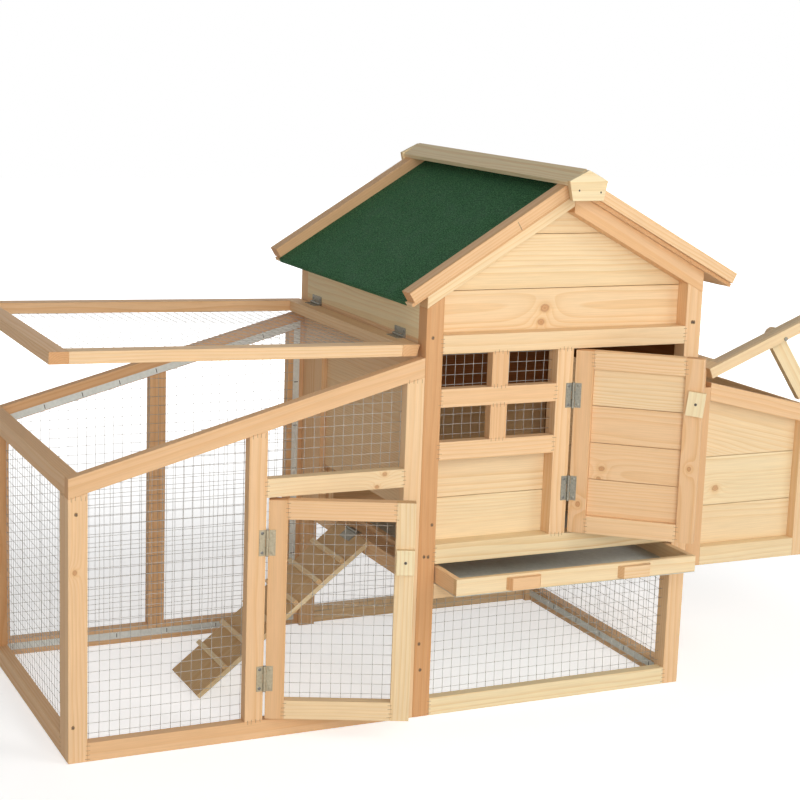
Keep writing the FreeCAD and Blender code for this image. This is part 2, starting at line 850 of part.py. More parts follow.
def lid_place(run, y, rise, pin, along, face):
    """A point on a lid: run along it from the pin, y across it, rise off the pin's level."""
    return pin + along * run + face * rise + V(0, y, 0)


def lid_bar(pin, along, face, run0, run1, y0, y1, rise0, rise1):
    """A straight bar of a lid."""
    corners = [lid_place(run, y0, rise, pin, along, face)
               for run, rise in ((run0, rise0), (run1, rise0), (run1, rise1), (run0, rise1))]
    return Part.Face(Part.makePolygon(corners + corners[:1])).extrude(V(0, y1 - y0, 0))


lid_start = 1.2            # from the pin, so that the rail clears the hinges' knuckles
lid_end = (run_length + lid_overhang - knuckle_radius) / cos_run


def run_lid_frame():
    """Two long rails across the lid and two between them. The one at the hinges stands upright
    along the wall when the lid is closed."""
    along, face = lid_tilt(run_angle)
    top = -knuckle_radius
    bottom = top - thin
    back = lid_front + lid_width
    corners = [lid_place(run, lid_front, rise, lid_pin, along, face)
               for run, rise in ((lid_start + thin * run_slope, bottom), (lid_start + batten, bottom),
                                 (lid_start + batten, top), (lid_start, top))]
    solids = [Part.Face(Part.makePolygon(corners + corners[:1])).extrude(V(0, lid_width, 0)),
              lid_bar(lid_pin, along, face, lid_end - batten, lid_end, lid_front, back, bottom, top)]
    for y in (lid_front, back - batten):
        solids.append(lid_bar(lid_pin, along, face, lid_start + batten, lid_end - batten, y, y + batten,
                              bottom, top))
    return solids


def run_lid_mesh():
    """Net on the underside of the lid."""
    along, face = lid_tilt(run_angle)
    level = -knuckle_radius - thin
    margin = batten - mesh_lap
    low = lid_start + margin
    high = lid_end - margin
    front = lid_front + margin
    back = lid_front + lid_width - margin
    outline = [(low, front), (high, front), (high, back), (low, back)]
    return [net(outline, lambda u, v: lid_place(u, v, level, lid_pin, along, face), face * -wire)]


def raised_run_lid(solids):
    """Lifts the closed lid to where it stands."""
    return turned(solids, lid_pin, AXIS_Y, lid_rest_angle)


# Doors: built closed, then swung open

def door_frame(left, right, bottom, top, rail_height):
    """Two stiles and two rails of a door."""
    return [block(left, left + batten, 0, thin, bottom, top),
            block(right - batten, right, 0, thin, bottom, top),
            block(left + batten, right - batten, 0, thin, bottom, bottom + rail_height),
            block(left + batten, right - batten, 0, thin, top - rail_height, top)]


run_door_left = middle_stile + batten + running_gap
run_door_right = -batten - running_gap
run_door_top = run_door_bottom + run_door_height
house_door_left = stile_right + running_gap
house_door_right = inner_right - running_gap
house_door_bottom = fascia_top + running_gap
house_door_top = door_top - running_gap


def run_door_frame():
    """Frame of the run's door."""
    return door_frame(run_door_left, run_door_right, run_door_bottom, run_door_top, run_door_rail)


def run_door_mesh():
    """Net behind the run's door."""
    margin = batten - mesh_lap
    left = run_door_left + margin
    right = run_door_right - margin
    bottom = run_door_bottom + margin
    top = run_door_top - margin
    outline = [(left, bottom), (right, bottom), (right, top), (left, top)]
    return [net(outline, lambda u, v: V(u, thin, v), V(0, wire, 0))]


def house_door_frame():
    """Frame of the house's door."""
    return door_frame(house_door_left, house_door_right, house_door_bottom, house_door_top, batten)


def house_door_boards():
    """Four boards set in the frame of the house's door."""
    left = house_door_left + batten
    right = house_door_right - batten
    bottom = house_door_bottom + batten
    height = (house_door_top - batten - bottom) / door_board_count
    return [block(left, right, board, 2 * board, bottom + row * height, bottom + (row + 1) * height)
            for row in range(door_board_count)]


def swung_run_door(solids):
    """Swings the closed run door open."""
    return turned(solids, run_door_pin, AXIS_Z, -run_door_rest_angle)


def swung_house_door(solids):
    """Swings the closed house door open."""
    return turned(solids, house_door_pin, AXIS_Z, -house_door_rest_angle)


run_button_middle = V(run_door_right - button_width / 2, -clearance, run_button_height)
house_button_middle = V(house_door_right - button_width / 2 + button_past_edge, -clearance,
                        house_button_height)


def turn_button(middle, tilt):
    """A wooden block that turns on a nail."""
    half = button_width / 2
    solid = block(middle.x - half, middle.x + half, middle.y - button_thickness, middle.y,
                  middle.z - button_height / 2, middle.z + button_height / 2)
    hole_start = V(middle.x, middle.y - button_thickness, middle.z)
    solid = solid.cut(Part.makeCylinder(nail_radius + pin_play, button_thickness, hole_start, AXIS_Y))
    return turned([solid], middle, AXIS_Y, tilt)


def button_nail(middle):
    """The nail that a button turns on, driven into the door."""
    seat = V(middle.x, middle.y - button_thickness - clearance, middle.z)
    head = Part.makeCylinder(nail_head_radius, 1.0, seat, V(0, -1, 0))
    shank = Part.makeCylinder(nail_radius, button_thickness + thin - 2.0, seat, AXIS_Y)
    return [head.fuse(shank).removeSplitter()]


# Pop door, ramp and tray

def pop_door_panel():
    """Sliding panel inside the left wall, drawn half up."""
    low = floor_rail_top + clearance
    high = pop_doorway_top + pop_door_lap
    x = side_board + clearance
    panel = block(x, x + board, pop_doorway_front - pop_door_lap, pop_doorway_back + pop_door_lap, low, high)
    return moved([panel], V(0, 0, pop_door_lift))


def ramp_run(x):
    """How far down the ramp, from the foot of the pin, a plumb cut at x meets the top."""
    along, face = ramp_tilt()
    foot = ramp_pin - face * knuckle_radius
    return (x - foot.x) / along.x


def ramp_length():
    """Length of the ramp's top, from under the pin, for its lower edge to reach the ground."""
    along, face = ramp_tilt()
    foot = ramp_pin - face * knuckle_radius
    return (foot.z - face.z * ramp_thickness) / -along.z


def ramp_board():
    """The ramp, cut upright at the sill and square at the end that stands on the ground."""
    along, face = ramp_tilt()
    foot = ramp_pin - face * knuckle_radius
    top_start = foot + along * ramp_run(-ramp_end_gap)
    drop = ramp_thickness / math.cos(math.radians(ramp_angle))
    top_end = foot + along * ramp_length()
    heel = top_end - face * ramp_thickness
    outline = [(top_start.x, top_start.z), (top_end.x, top_end.z), (heel.x, heel.z),
               (top_start.x, top_start.z - drop)]
    return [prism_along_y(outline, ramp_front, ramp_front + ramp_width)]


def ramp_cleats():
    """Strips across the ramp to climb by."""
    along, face = ramp_tilt()
    foot = ramp_pin - face * knuckle_radius
    solids = []
    run = cleat_first
    while run < ramp_length() - cleat_spacing / 2:
        solids.append(lid_bar(foot, along, face, run, run + cleat_size, ramp_front, ramp_front + ramp_width,
                              0, cleat_size))
        run += cleat_spacing
    return solids


tray_left = inner_left + tray_side_gap
tray_right = inner_right - tray_side_gap
tray_length = inner_back - board - tray_back_gap


def pulled_tray(solids):
    """Draws the closed tray forward."""
    return moved(solids, V(0, -tray_pulled, 0))


def tray_boards():
    """Front, back and sides of the tray."""
    low = tray_bottom + tray_sheet
    return [block(tray_left, tray_right, 0, tray_board, low, tray_top),
            block(tray_left, tray_right, tray_length - tray_board, tray_length, low, tray_top),
            block(tray_left, tray_left + tray_board, tray_board, tray_length - tray_board, low, tray_top),
            block(tray_right - tray_board, tray_right, tray_board, tray_length - tray_board, low, tray_top)]


def tray_bottom_sheet():
    """Metal sheet under the tray."""
    return [block(tray_left, tray_right, 0, tray_length, tray_bottom, tray_bottom + tray_sheet)]


def tray_handles():
    """Two grip blocks on the front of the tray, their ends bevelled."""
    low = (tray_bottom + tray_top - handle_height) / 2
    solids = []
    for middle in (tray_left + handle_inset, tray_right - handle_inset):
        left = middle - handle_width / 2
        right = middle + handle_width / 2
        corners = [V(left, 0, low), V(left + handle_bevel, -handle_depth, low),
                   V(right - handle_bevel, -handle_depth, low), V(right, 0, low)]
        solids.append(Part.Face(Part.makePolygon(corners + corners[:1])).extrude(V(0, 0, handle_height)))
    return solids


# The nest's lid and its prop

nest_lid_start = (thin + knuckle_radius) * nest_slope
nest_lid_end = (nest_end + nest_lid_overhang - nest_pin.x) / cos_nest


def nest_lid_frame():
    """Front and back rails of the nest's lid, and one between them at the hinges."""
    along, face = nest_lid_tilt()
    top = -knuckle_radius
    bottom = top - thin
    solids = []
    for y in (0, inner_back):
        solids.append(lid_bar(nest_pin, along, face, nest_lid_start, nest_lid_end, y, y + batten, bottom, top))
    solids.append(lid_bar(nest_pin, along, face, nest_lid_start, nest_lid_start + batten, batten, inner_back,
                          bottom, top))
    return solids


def nest_lid_sheet():
    """Clear sheet on top of the lid's rails."""
    along, face = nest_lid_tilt()
    low = -knuckle_radius
    start = nest_lid_start + batten - mesh_lap
    return [lid_bar(nest_pin, along, face, start, nest_lid_end, mesh_lap, house_depth - mesh_lap,
                    low, low + nest_sheet)]


def raised_nest_lid(solids):
    """Lifts the closed nest lid to where it stands."""
    return turned(solids, nest_pin, AXIS_Y, -nest_lid_rest_angle)


def prop_pivot():
    """Where the prop's bolt crosses the raised lid's front rail."""
    along, face = nest_lid_tilt()
    rise = prop_pivot_rise - thin - knuckle_radius
    closed = lid_place(prop_pivot_run, 0, rise, nest_pin, along, face)
    return turned_point(closed, nest_pin, AXIS_Y, -nest_lid_rest_angle)


def nest_prop():
    """Batten that stands with its slanted foot on the inner edge of the nest's end rail."""
    pivot = prop_pivot()
    tilt = math.radians(prop_angle)
    down = V(math.cos(tilt), 0, -math.sin(tilt))
    across = V(math.sin(tilt), 0, math.cos(tilt)) * (batten / 2)
    reach = nest_length
    corners = [pivot - across, pivot - across + down * reach, pivot + across + down * reach, pivot + across]
    edge_x = nest_end - thin - clearance
    edge_z = nest_top(nest_end - thin) + clearance
    foot = math.radians(prop_foot_angle)
    foot_end = (edge_x + math.cos(foot), edge_z + math.sin(foot))
    outline = cut_by_line([(corner.x, corner.z) for corner in corners], (edge_x, edge_z), foot_end, 0)
    front = batten + clearance
    bar = prism_along_y(outline, front, front + prop_thickness)
    place = V(pivot.x, front, pivot.z)
    bar = bar.fuse(Part.makeCylinder(batten / 2, prop_thickness, place, AXIS_Y)).removeSplitter()
    return [bar.cut(Part.makeCylinder(bolt_radius + pin_play, prop_thickness, place, AXIS_Y))]


def prop_bolt():
    """Bolt through the lid's front rail that the prop turns on."""
    pivot = prop_pivot()
    length = batten + clearance + prop_thickness + clearance
    shank = Part.makeCylinder(bolt_radius, length, V(pivot.x, 0, pivot.z), AXIS_Y)
    for y, direction in ((0, -1), (length, 1)):
        head = Part.makeCylinder(bolt_head_radius, bolt_head_height, V(pivot.x, y, pivot.z), V(0, direction, 0))
        shank = shank.fuse(head)
    return [shank.removeSplitter()]


def frame_nails():
    """Nails through the posts and stiles into the rails behind them."""
    posts = (batten / 2, house_width - batten / 2)
    heights = (batten / 2, fascia_bottom + fascia_height / 2, top_rail_top - batten / 2)
    spots = [(x, z) for x in posts for z in heights]
    spots += [(-run_length + batten / 2, batten / 2), (-run_length + batten / 2, run_low - batten * 1.5)]
    nails = []
    for x, z in spots:
        head = Part.makeCylinder(nail_head_radius, 0.6, V(x, 0, z), V(0, -1, 0))
        shank = Part.makeCylinder(nail_radius, thin - 2.0, V(x, 0, z), AXIS_Y)
        nails.append(head.fuse(shank).removeSplitter())
    return nails


def all_nodes():
    """Every node of the duck house, with its solids as they stand open."""
    return {
        "house_posts": house_posts(),
        "house_front_rails": house_front_rails(),
        "window_frame": window_frame(),
        "window_mesh": window_mesh(),
        "house_front_boards": house_front_boards(),
        "gable_boards": gable_boards(),
        "house_back_rails": house_back_rails(),
        "back_wall_boards": back_wall_boards(),
        "house_side_rails": house_side_rails(),
        "left_wall_boards": left_wall_boards(),
        "right_wall_boards": right_wall_boards(),
        "eave_boards": eave_boards(),
        "pop_door_guides": pop_door_guides(),
        "tray_runners": tray_runners(),
        "base_mesh": base_mesh(),
        "rafters": rafters(),
        "roof_decks": roof_decks(),
        "roof_felts": roof_felts(),
        "roof_edge_battens": roof_edge_battens(),
        "ridge_cap": ridge_cap(),
        "ridge_end_plates": ridge_end_plates(),
        "run_front_frame": run_front_frame(),
        "run_back_frame": run_back_frame(),
        "run_end_frame": run_end_frame(),
        "run_front_mesh": run_front_mesh(),
        "run_back_mesh": run_back_mesh(),
        "run_end_mesh": run_end_mesh(),
        "mesh_edge_strips": mesh_edge_strips(),
        "nest_frame": nest_frame(),
        "nest_wall_boards": nest_wall_boards(),
        "nest_floor": nest_floor(),
        "fixed_hinge_leaves": fixed_hinge_parts("leaf"),
        "fixed_hinge_screws": fixed_hinge_parts("screw"),
        "hinge_pins": fixed_hinge_parts("pin"),
        "frame_nails": frame_nails(),
        "run_lid_frame": raised_run_lid(run_lid_frame()),
        "run_lid_mesh": raised_run_lid(run_lid_mesh()),
        "run_lid_hinges": raised_run_lid(moving_leaves("run_lid")),
        "run_door_frame": swung_run_door(run_door_frame()),
        "run_door_mesh": swung_run_door(run_door_mesh()),
        "run_door_hinges": swung_run_door(moving_leaves("run_door")),
        "run_door_nail": swung_run_door(button_nail(run_button_middle)),
        "run_door_button": swung_run_door(turn_button(run_button_middle, 0.0)),
        "house_door_frame": swung_house_door(house_door_frame()),
        "house_door_boards": swung_house_door(house_door_boards()),
        "house_door_hinges": swung_house_door(moving_leaves("house_door")),
        "house_door_nail": swung_house_door(button_nail(house_button_middle)),
        "house_door_button": swung_house_door(turn_button(house_button_middle, house_button_tilt)),
        "tray_boards": pulled_tray(tray_boards()),
        "tray_bottom_sheet": pulled_tray(tray_bottom_sheet()),
        "tray_handles": pulled_tray(tray_handles()),
        "pop_door_panel": pop_door_panel(),
        "ramp_board": ramp_board(),
        "ramp_cleats": ramp_cleats(),
        "ramp_hinge": moving_leaves("ramp"),
        "nest_lid_frame": raised_nest_lid(nest_lid_frame()),
        "nest_lid_sheet": raised_nest_lid(nest_lid_sheet()),
        "nest_lid_hinges": raised_nest_lid(moving_leaves("nest_lid")),
        "nest_prop": nest_prop(),
        "nest_prop_bolt": prop_bolt(),
    }


def middle_of_base(nodes):
    """The middle of everything, at its lowest level."""
    limits = FreeCAD.BoundBox()
    for solids in nodes.values():
        for solid in solids:
            limits.add(solid.BoundBox)
    return V(limits.Center.x, limits.Center.y, limits.ZMin)


nodes = all_nodes()
origin = middle_of_base(nodes)
os.makedirs("parts", exist_ok=True)
for name, solids in nodes.items():
    Part.makeCompound(moved(solids, origin * -1)).exportStep("parts/" + name + ".step")
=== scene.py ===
import math
import random

import bmesh
import bpy
from mathutils import Matrix, Vector


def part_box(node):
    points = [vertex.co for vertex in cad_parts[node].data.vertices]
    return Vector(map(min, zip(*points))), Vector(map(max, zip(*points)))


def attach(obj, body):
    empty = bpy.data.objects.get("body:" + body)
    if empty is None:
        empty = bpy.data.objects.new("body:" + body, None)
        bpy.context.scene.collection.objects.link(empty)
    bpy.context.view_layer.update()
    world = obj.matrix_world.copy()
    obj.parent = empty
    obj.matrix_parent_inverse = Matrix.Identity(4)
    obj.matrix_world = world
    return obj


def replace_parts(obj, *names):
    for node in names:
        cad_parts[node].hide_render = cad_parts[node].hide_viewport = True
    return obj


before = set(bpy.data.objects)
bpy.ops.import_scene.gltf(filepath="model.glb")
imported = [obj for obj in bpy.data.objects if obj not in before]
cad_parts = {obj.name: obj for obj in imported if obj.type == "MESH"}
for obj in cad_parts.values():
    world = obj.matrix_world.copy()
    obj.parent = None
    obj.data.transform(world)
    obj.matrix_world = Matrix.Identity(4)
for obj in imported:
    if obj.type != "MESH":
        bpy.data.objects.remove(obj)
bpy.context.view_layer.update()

# Places are in millimetres right, back and up from the bottom of the front left post's outer corner.
MM = 0.001
RIGHT, BACK, UP = Vector((1, 0, 0)), Vector((0, 1, 0)), Vector((0, 0, 1))
corner = Vector(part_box("house_posts")[0])

# The part's measurements that the small pieces go by, in millimetres and degrees
HOUSE_DEPTH = 620
HOUSE_MIDDLE = 300
LEFT_POST, RIGHT_POST = 35, 565    # the posts' inner sides
FLOOR_RAIL_TOP = 289
LEFT_ROOF_ANGLE, RIGHT_ROOF_ANGLE = 31.75, 27.9
BATTEN_FRONT, RIDGE_PLATE_FRONT = -20.4, -47.4
RAMP_ANGLE = 38.4
RUN_LENGTH = 670
RUN_TOP = 699.9                    # top of the run's sloping rails at the house
RUN_SLOPE = 0.27254                # how far they fall for each millimetre
STRIP_DROP = 27.0                  # from their top to the middle of the strip below
STRIP_LEVEL = 19                   # middle of the strips at the ground
STRIP_BACK, STRIP_RIGHT = 595.9, 575.9    # faces of the strips at the back and the right
HINGE_PIN_DEPTH = -2.8             # the pins lie ahead of the doors' front faces
HOUSE_DOOR = (316.25, 39.2)        # each door's pin and how far it stands open
RUN_DOOR = (-304.75, 22.6)

# How wood and wire are dressed, in metres
EASED_EDGE = 0.0010
BOARD_GAP = 0.0005                 # what each board shrinks where it meets the next
BOARD_LAP = 0.003                  # what the lowest back board laps its rail
KNOT_REACH = 0.002                 # how far past a board's side a knot's middle may lie
WIRE_PITCH = 0.019
WIRE_RADIUS = 0.00045
WIRE_DRIFT = 0.0005                # how far a wire strays sideways
WIRE_WAVE = 0.0009                 # how high each wave of a net is
WIRE_SIDES, DISC_SIDES = 5, 12     # how many sides round wires and nails have

# How staples sit, in millimetres
STAPLES = 4                        # over each joint
STAPLE_PITCH = 8.2
STRIP_STAPLE = (9.0, 1.6, 1.0)     # size of the staples in the strips


def spot(x, y, z):
    """A measured place in the frame, in metres."""
    return corner + Vector((x, y, z)) * MM


# Materials
class Nodes:
    """A tree of shader nodes, built in a few words."""

    def __init__(self, tree):
        self.tree = tree

    def put(self, socket, value):
        """Links another node's output to a socket, or sets its value."""
        if isinstance(value, bpy.types.NodeSocket):
            self.tree.links.new(value, socket)
        else:
            socket.default_value = value

    def add(self, kind, inputs=None, **settings):
        """Adds a node, with inputs by name or by number."""
        node = self.tree.nodes.new("ShaderNode" + kind)
        for name, value in settings.items():
            setattr(node, name, value)
        for socket, value in (inputs or {}).items():
            self.put(node.inputs[socket], value)
        return node

    def math(self, operation, first, second=0.0):
        return self.add("Math", {0: first, 1: second}, operation=operation).outputs[0]

    def plus(self, first, second):
        return self.math("ADD", first, second)

    def minus(self, first, second):
        return self.math("SUBTRACT", first, second)

    def times(self, first, second):
        return self.math("MULTIPLY", first, second)

    def over(self, first, second):
        return self.math("DIVIDE", first, second)

    def length(self, first, second):
        """The long side of a right angle with the two."""
        return self.math("SQRT", self.plus(self.times(first, first), self.times(second, second)))

    def vector(self, operation, first, second):
        return self.add("VectorMath", {0: first, 1: second}, operation=operation).outputs[0]

    def parts(self, vector):
        return self.add("SeparateXYZ", {0: vector}).outputs

    def mix(self, factor, first, second, blend="MIX"):
        node = self.add("Mix", data_type="RGBA", blend_type=blend)
        for place, value in ((0, factor), (6, first), (7, second)):
            self.put(node.inputs[place], value)
        return node.outputs[2]

    def tint(self, colour, other, factor=1.0):
        """A colour multiplied by another, wholly or in part."""
        return self.mix(factor, colour, other, "MULTIPLY")

    def ramp(self, factor, stops):
        """A colour or a number, read off between stops, each at its place from 0 to 1."""
        node = self.add("ValToRGB", {0: factor})
        elements = node.color_ramp.elements
        while len(elements) < len(stops):
            elements.new(0.5)
        for element, (place, value) in zip(elements, stops):
            element.position = place
            element.color = value if isinstance(value, tuple) else (value, value, value, 1)
        return node.outputs[0]

    def noise(self, vector, scale, detail=2.0, roughness=0.5):
        inputs = {"Vector": vector, "Scale": scale, "Detail": detail, "Roughness": roughness}
        return self.add("TexNoise", inputs).outputs[0]

    def attribute(self, name, output):
        return self.add("Attribute", attribute_name=name).outputs[output]

    def own_place(self):
        """Where on its own object a point lies."""
        return self.add("TexCoord").outputs["Object"]


class Shader(Nodes):
    """A material and its nodes."""

    def __init__(self, name):
        self.material = bpy.data.materials.new(name)
        self.material.use_nodes = True
        super().__init__(self.material.node_tree)
        self.surface = self.tree.nodes["Principled BSDF"]

    def finish(self, bump=None, **values):
        """Sets the surface's values. A bump is its height, its strength and its distance."""
        for name, value in values.items():
            self.put(self.surface.inputs[name.replace("_", " ")], value)
        if bump:
            node = self.add("Bump", dict(zip(("Height", "Strength", "Distance"), bump)))
            self.put(self.surface.inputs["Normal"], node.outputs[0])
        return self.material


def pine_material(name):
    """Planed pine: growth rings about a pith that lies outside most boards, fine grain and knots."""
    s = Shader(name)
    place = s.attribute("grain_at", "Vector")
    seed = s.attribute("seed", "Fac")
    end_grain_and_painted_shade = s.attribute("end_grain_and_painted_shade", "Fac")
    x, y, z = s.parts(place)
    spread = {axis: s.times(seed, factor) for axis, factor in enumerate((9.7, 5.3, 3.1))}
    shift = s.add("CombineXYZ", spread).outputs[0]

    def drawn(factor):
        """A number from 0 to 1 that differs from board to board."""
        return s.math("FRACT", s.times(seed, factor))

    def streaks(stretch, detail):
        """Noise that differs from board to board and is drawn out along the grain."""
        return s.noise(s.vector("ADD", s.vector("MULTIPLY", place, stretch), shift), 1.0, detail)

    wander = s.times(s.minus(streaks((2.2, 14.0, 14.0), 2.0), 0.5), 0.030)
    pith_across = s.times(s.minus(drawn(17.13), 0.5), 0.10)
    pith_below = s.plus(s.times(drawn(5.77), 0.07), 0.012)
    rings_per_metre = s.plus(s.times(drawn(3.31), 110.0), 150.0)
    from_pith = s.length(s.plus(s.minus(y, pith_across), wander), s.plus(z, pith_below))
    rings = s.times(from_pith, rings_per_metre)

    heart = None    # distance from the nearest knot's middle, in its radii
    for knot in ("knot_a", "knot_b"):
        knot_x, knot_y, radius = s.parts(s.attribute(knot, "Vector"))
        away = s.length(s.times(s.minus(x, knot_x), 0.8), s.minus(y, knot_y))
        away = s.over(away, s.math("MAXIMUM", radius, 0.00001))
        bulge = s.over(3.0, s.plus(s.times(s.times(away, away), 0.25), 1.0))
        rings = s.plus(rings, bulge)
        heart = away if heart is None else s.math("MINIMUM", heart, away)

    late_share = s.ramp(s.math("FRACT", rings), [
        (0.0, 0.0), (0.45, 0.15), (0.82, 0.85), (0.93, 1.0), (1.0, 0.0)])
    strength = s.times(late_share, s.ramp(streaks((1.2, 6.0, 6.0), 1.0), [(0.3, 0.25), (0.7, 0.85)]))
    early = s.ramp(s.attribute("tone", "Fac"), [
        (0.0, (0.88, 0.76, 0.50, 1)), (0.5, (0.85, 0.58, 0.34, 1)), (1.0, (0.64, 0.345, 0.155, 1))])
    base = s.mix(strength, early, s.tint(early, (0.88, 0.74, 0.56, 1)))
    cloud = streaks((3.0, 9.0, 9.0), 2.0)
    base = s.tint(base, s.ramp(cloud, [(0.3, (0.97, 0.94, 0.90, 1)), (0.7, (1.0, 1.0, 1.0, 1))]))
    hair = s.noise(s.vector("MULTIPLY", place, (14.0, 520.0, 520.0)), 1.0, 3.0, 0.6)
    base = s.tint(base, s.ramp(hair, [(0.25, 0.90), (0.75, 1.04)]))
    base = s.tint(base, (0.74, 0.55, 0.38, 1), s.times(end_grain_and_painted_shade, 0.6))
    # Faces marked past 1 take painted shade, darker by the excess, and the end grain tint above in full
    painted_shade = s.math("MAXIMUM", s.minus(end_grain_and_painted_shade, 1.0), 0.0)
    base = s.tint(base, (0.50, 0.38, 0.28, 1), painted_shade)

    ragged = s.times(s.minus(s.noise(place, 260.0, 2.0), 0.5), 0.5)
    in_knot = s.over(s.plus(heart, ragged), 3.0)
    knot_colour = s.ramp(in_knot, [
        (0.0, (0.42, 0.17, 0.06, 1)), (0.16, (0.56, 0.27, 0.10, 1)), (0.30, (0.38, 0.14, 0.045, 1)),
        (0.40, (0.62, 0.33, 0.13, 1)), (0.60, (0.74, 0.45, 0.20, 1))])
    knot_share = s.ramp(in_knot, [(0.0, 0.78), (0.32, 0.66), (0.5, 0.30), (1.0, 0.0)])
    height = s.plus(s.times(hair, 0.6), s.times(late_share, 0.4))
    return s.finish(Base_Color=s.mix(knot_share, base, knot_colour),
                    Roughness=s.ramp(hair, [(0.0, 0.55), (1.0, 0.75)]), Specular_IOR_Level=0.3,
                    bump=(height, 0.25, 0.0004))


def speckled(name, dark, light, grain, roughness, bump, metallic=0.0, stops=(0.35, 0.65), shine=0.5,
             patchy=0.3):
    """A surface that varies between two colours, in grains of a size in metres and partly in patches."""
    s = Shader(name)
    place = s.own_place()
    fine = s.noise(place, 1.0 / grain, 3.0, 0.7)
    broad = s.noise(place, 0.07 / grain, 2.0)
    share = s.plus(s.times(fine, 1.0 - patchy), s.times(broad, patchy))
    colour = s.ramp(share, [(stops[0], (*dark, 1)), (stops[1], (*light, 1))])
    rough = s.ramp(broad, [(0.3, roughness * 0.85), (0.7, min(1.0, roughness * 1.15))])
    return s.finish(Base_Color=colour, Roughness=rough, Metallic=metallic, Specular_IOR_Level=shine,
                    bump=(fine, bump, grain))


def clear_material(name):
    """Clear sheet that the background shows through."""
    s = Shader(name)
    place = s.own_place()
    colour = s.ramp(s.noise(place, 3.0), [(0.0, (0.80, 0.85, 0.88, 1)), (1.0, (0.9, 0.93, 0.95, 1))])
    haze = s.ramp(s.noise(place, 6.0, 2.0), [(0.3, 0.05), (0.7, 0.10)])
    return s.finish(Base_Color=colour, Roughness=0.12, Alpha=haze)


PINE = pine_material("pine")
FELT = speckled("green_mineral_felt", (0.010, 0.070, 0.024), (0.120, 0.320, 0.135), 0.0026, 0.95, 0.9,
                stops=(0.46, 0.70), shine=0.25, patchy=0.10)
ZINC = speckled("galvanised_steel", (0.19, 0.18, 0.145), (0.33, 0.31, 0.25), 0.004, 0.50, 0.05, 0.5)
PALE_ZINC = speckled("passivated_steel", (0.33, 0.28, 0.19), (0.46, 0.40, 0.28), 0.004, 0.55, 0.05, 0.35)
WIRE = speckled("galvanised_wire", (0.34, 0.33, 0.31), (0.52, 0.50, 0.46), 0.006, 0.55, 0.05, 0.25)
TRAY_METAL = speckled("tray_sheet", (0.46, 0.50, 0.46), (0.58, 0.62, 0.58), 0.010, 0.45, 0.02, 0.2)
STRIP = speckled("edge_strip", (0.66, 0.69, 0.65), (0.80, 0.82, 0.78), 0.008, 0.6, 0.05)
DARK_STEEL = speckled("nail_steel", (0.05, 0.04, 0.035), (0.14, 0.12, 0.10), 0.0008, 0.5, 0.2, 0.7)
SCREW_STEEL = speckled("screw_steel", (0.10, 0.10, 0.09), (0.22, 0.21, 0.19), 0.0010, 0.45, 0.1, 0.8)
STAPLE = speckled("staples_in_wood", (0.24, 0.14, 0.075), (0.50, 0.33, 0.19), 0.0015, 0.7, 0.1)
STAIN = speckled("stain_round_nail", (0.20, 0.10, 0.045), (0.42, 0.24, 0.11), 0.0015, 0.8, 0.1)
CLEAR = clear_material("clear_sheet")


# Shapes from the CAD nodes
def cad_mesh(node):
    """The mesh of a CAD node."""
    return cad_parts[node].data


def solids_of(node):
    """The closed solids of a CAD node, each as its points and its triangles. Their faces come solid by
    solid, so one ends where each side of its faces has been met twice."""
    mesh = cad_mesh(node)
    shared = {}
    alias = [shared.setdefault(tuple(round(c * 1e6) for c in v.co), len(shared)) for v in mesh.vertices]
    place = {alias[v.index]: v.co.copy() for v in mesh.vertices}
    solids = []
    faces, sides, unpaired = [], {}, 0
    for polygon in mesh.polygons:
        face = [alias[i] for i in polygon.vertices]
        faces.append(face)
        for a, b in zip(face, face[1:] + face[:1]):
            side = (min(a, b), max(a, b))
            sides[side] = sides.get(side, 0) + 1
            unpaired += 1 if sides[side] % 2 else -1
        if unpaired == 0:
            used = sorted({i for f in faces for i in f})
            order = {i: n for n, i in enumerate(used)}
            solids.append(([place[i] for i in used], [[order[i] for i in f] for f in faces]))
            faces, sides = [], {}
    return solids


def editable(corners, triangles):
    """A solid as a mesh to work on."""
    work = bmesh.new()
    verts = [work.verts.new(c) for c in corners]
    for triangle in triangles:
        work.faces.new([verts[i] for i in triangle])
    return work


def largest(faces, along=None):
    """The normal that most of the faces' area shares, of those square to a direction if one is given."""
    areas = {}
    for face in faces:
        if along is None or abs(face.normal.dot(along)) < 0.3:
            key = tuple(round(abs(c), 2) for c in face.normal)
            area, normal = areas.get(key, (0.0, face.normal.copy()))
            areas[key] = (area + face.calc_area(), normal)
    return max(areas.values(), key=lambda pair: pair[0])[1]


def place_piece(mesh, name, body, material, nodes, edge=0.0):
    """Puts a mesh in the scene as a piece of a body, in place of the CAD nodes that it dresses."""
    piece = bpy.data.objects.new(name, mesh)
    bpy.context.scene.collection.objects.link(piece)
    mesh.materials.append(material)
    if edge:
        bevel = piece.modifiers.new("eased_edges", "BEVEL")
        bevel.width = edge
        bevel.segments = 2
        bevel.limit_method = "ANGLE"
        bevel.angle_limit = math.radians(25)
    if nodes:
        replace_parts(piece, *nodes)
    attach(piece, body)
    return piece


# Boards
def board_axes(work):
    """A board's own directions: along its grain, across its face, and out of its face."""
    longest = max(work.edges, key=lambda e: e.calc_length())
    along = (longest.verts[1].co - longest.verts[0].co).normalized()
    if along.dot(Vector((1.0, 0.9, 1.1))) < 0:
        along = -along
    out = largest(work.faces, along)
    out = (out - along * out.dot(along)).normalized()
    if out.dot(Vector((0.9, -1.0, 1.1))) < 0:
        out = -out
    return along, out.cross(along), out


def neighbour_sides(own, centres, turn, half):
    """On which of a board's sides others lie edge to edge with it: True ahead of it, False behind."""
    sides = set()
    for centre in centres:
        off = turn @ (centre - own)
        if 0.0 < abs(off.y) < half.y * 3 and abs(off.z) < half.z:
            sides.add(off.y > 0)
    return sides


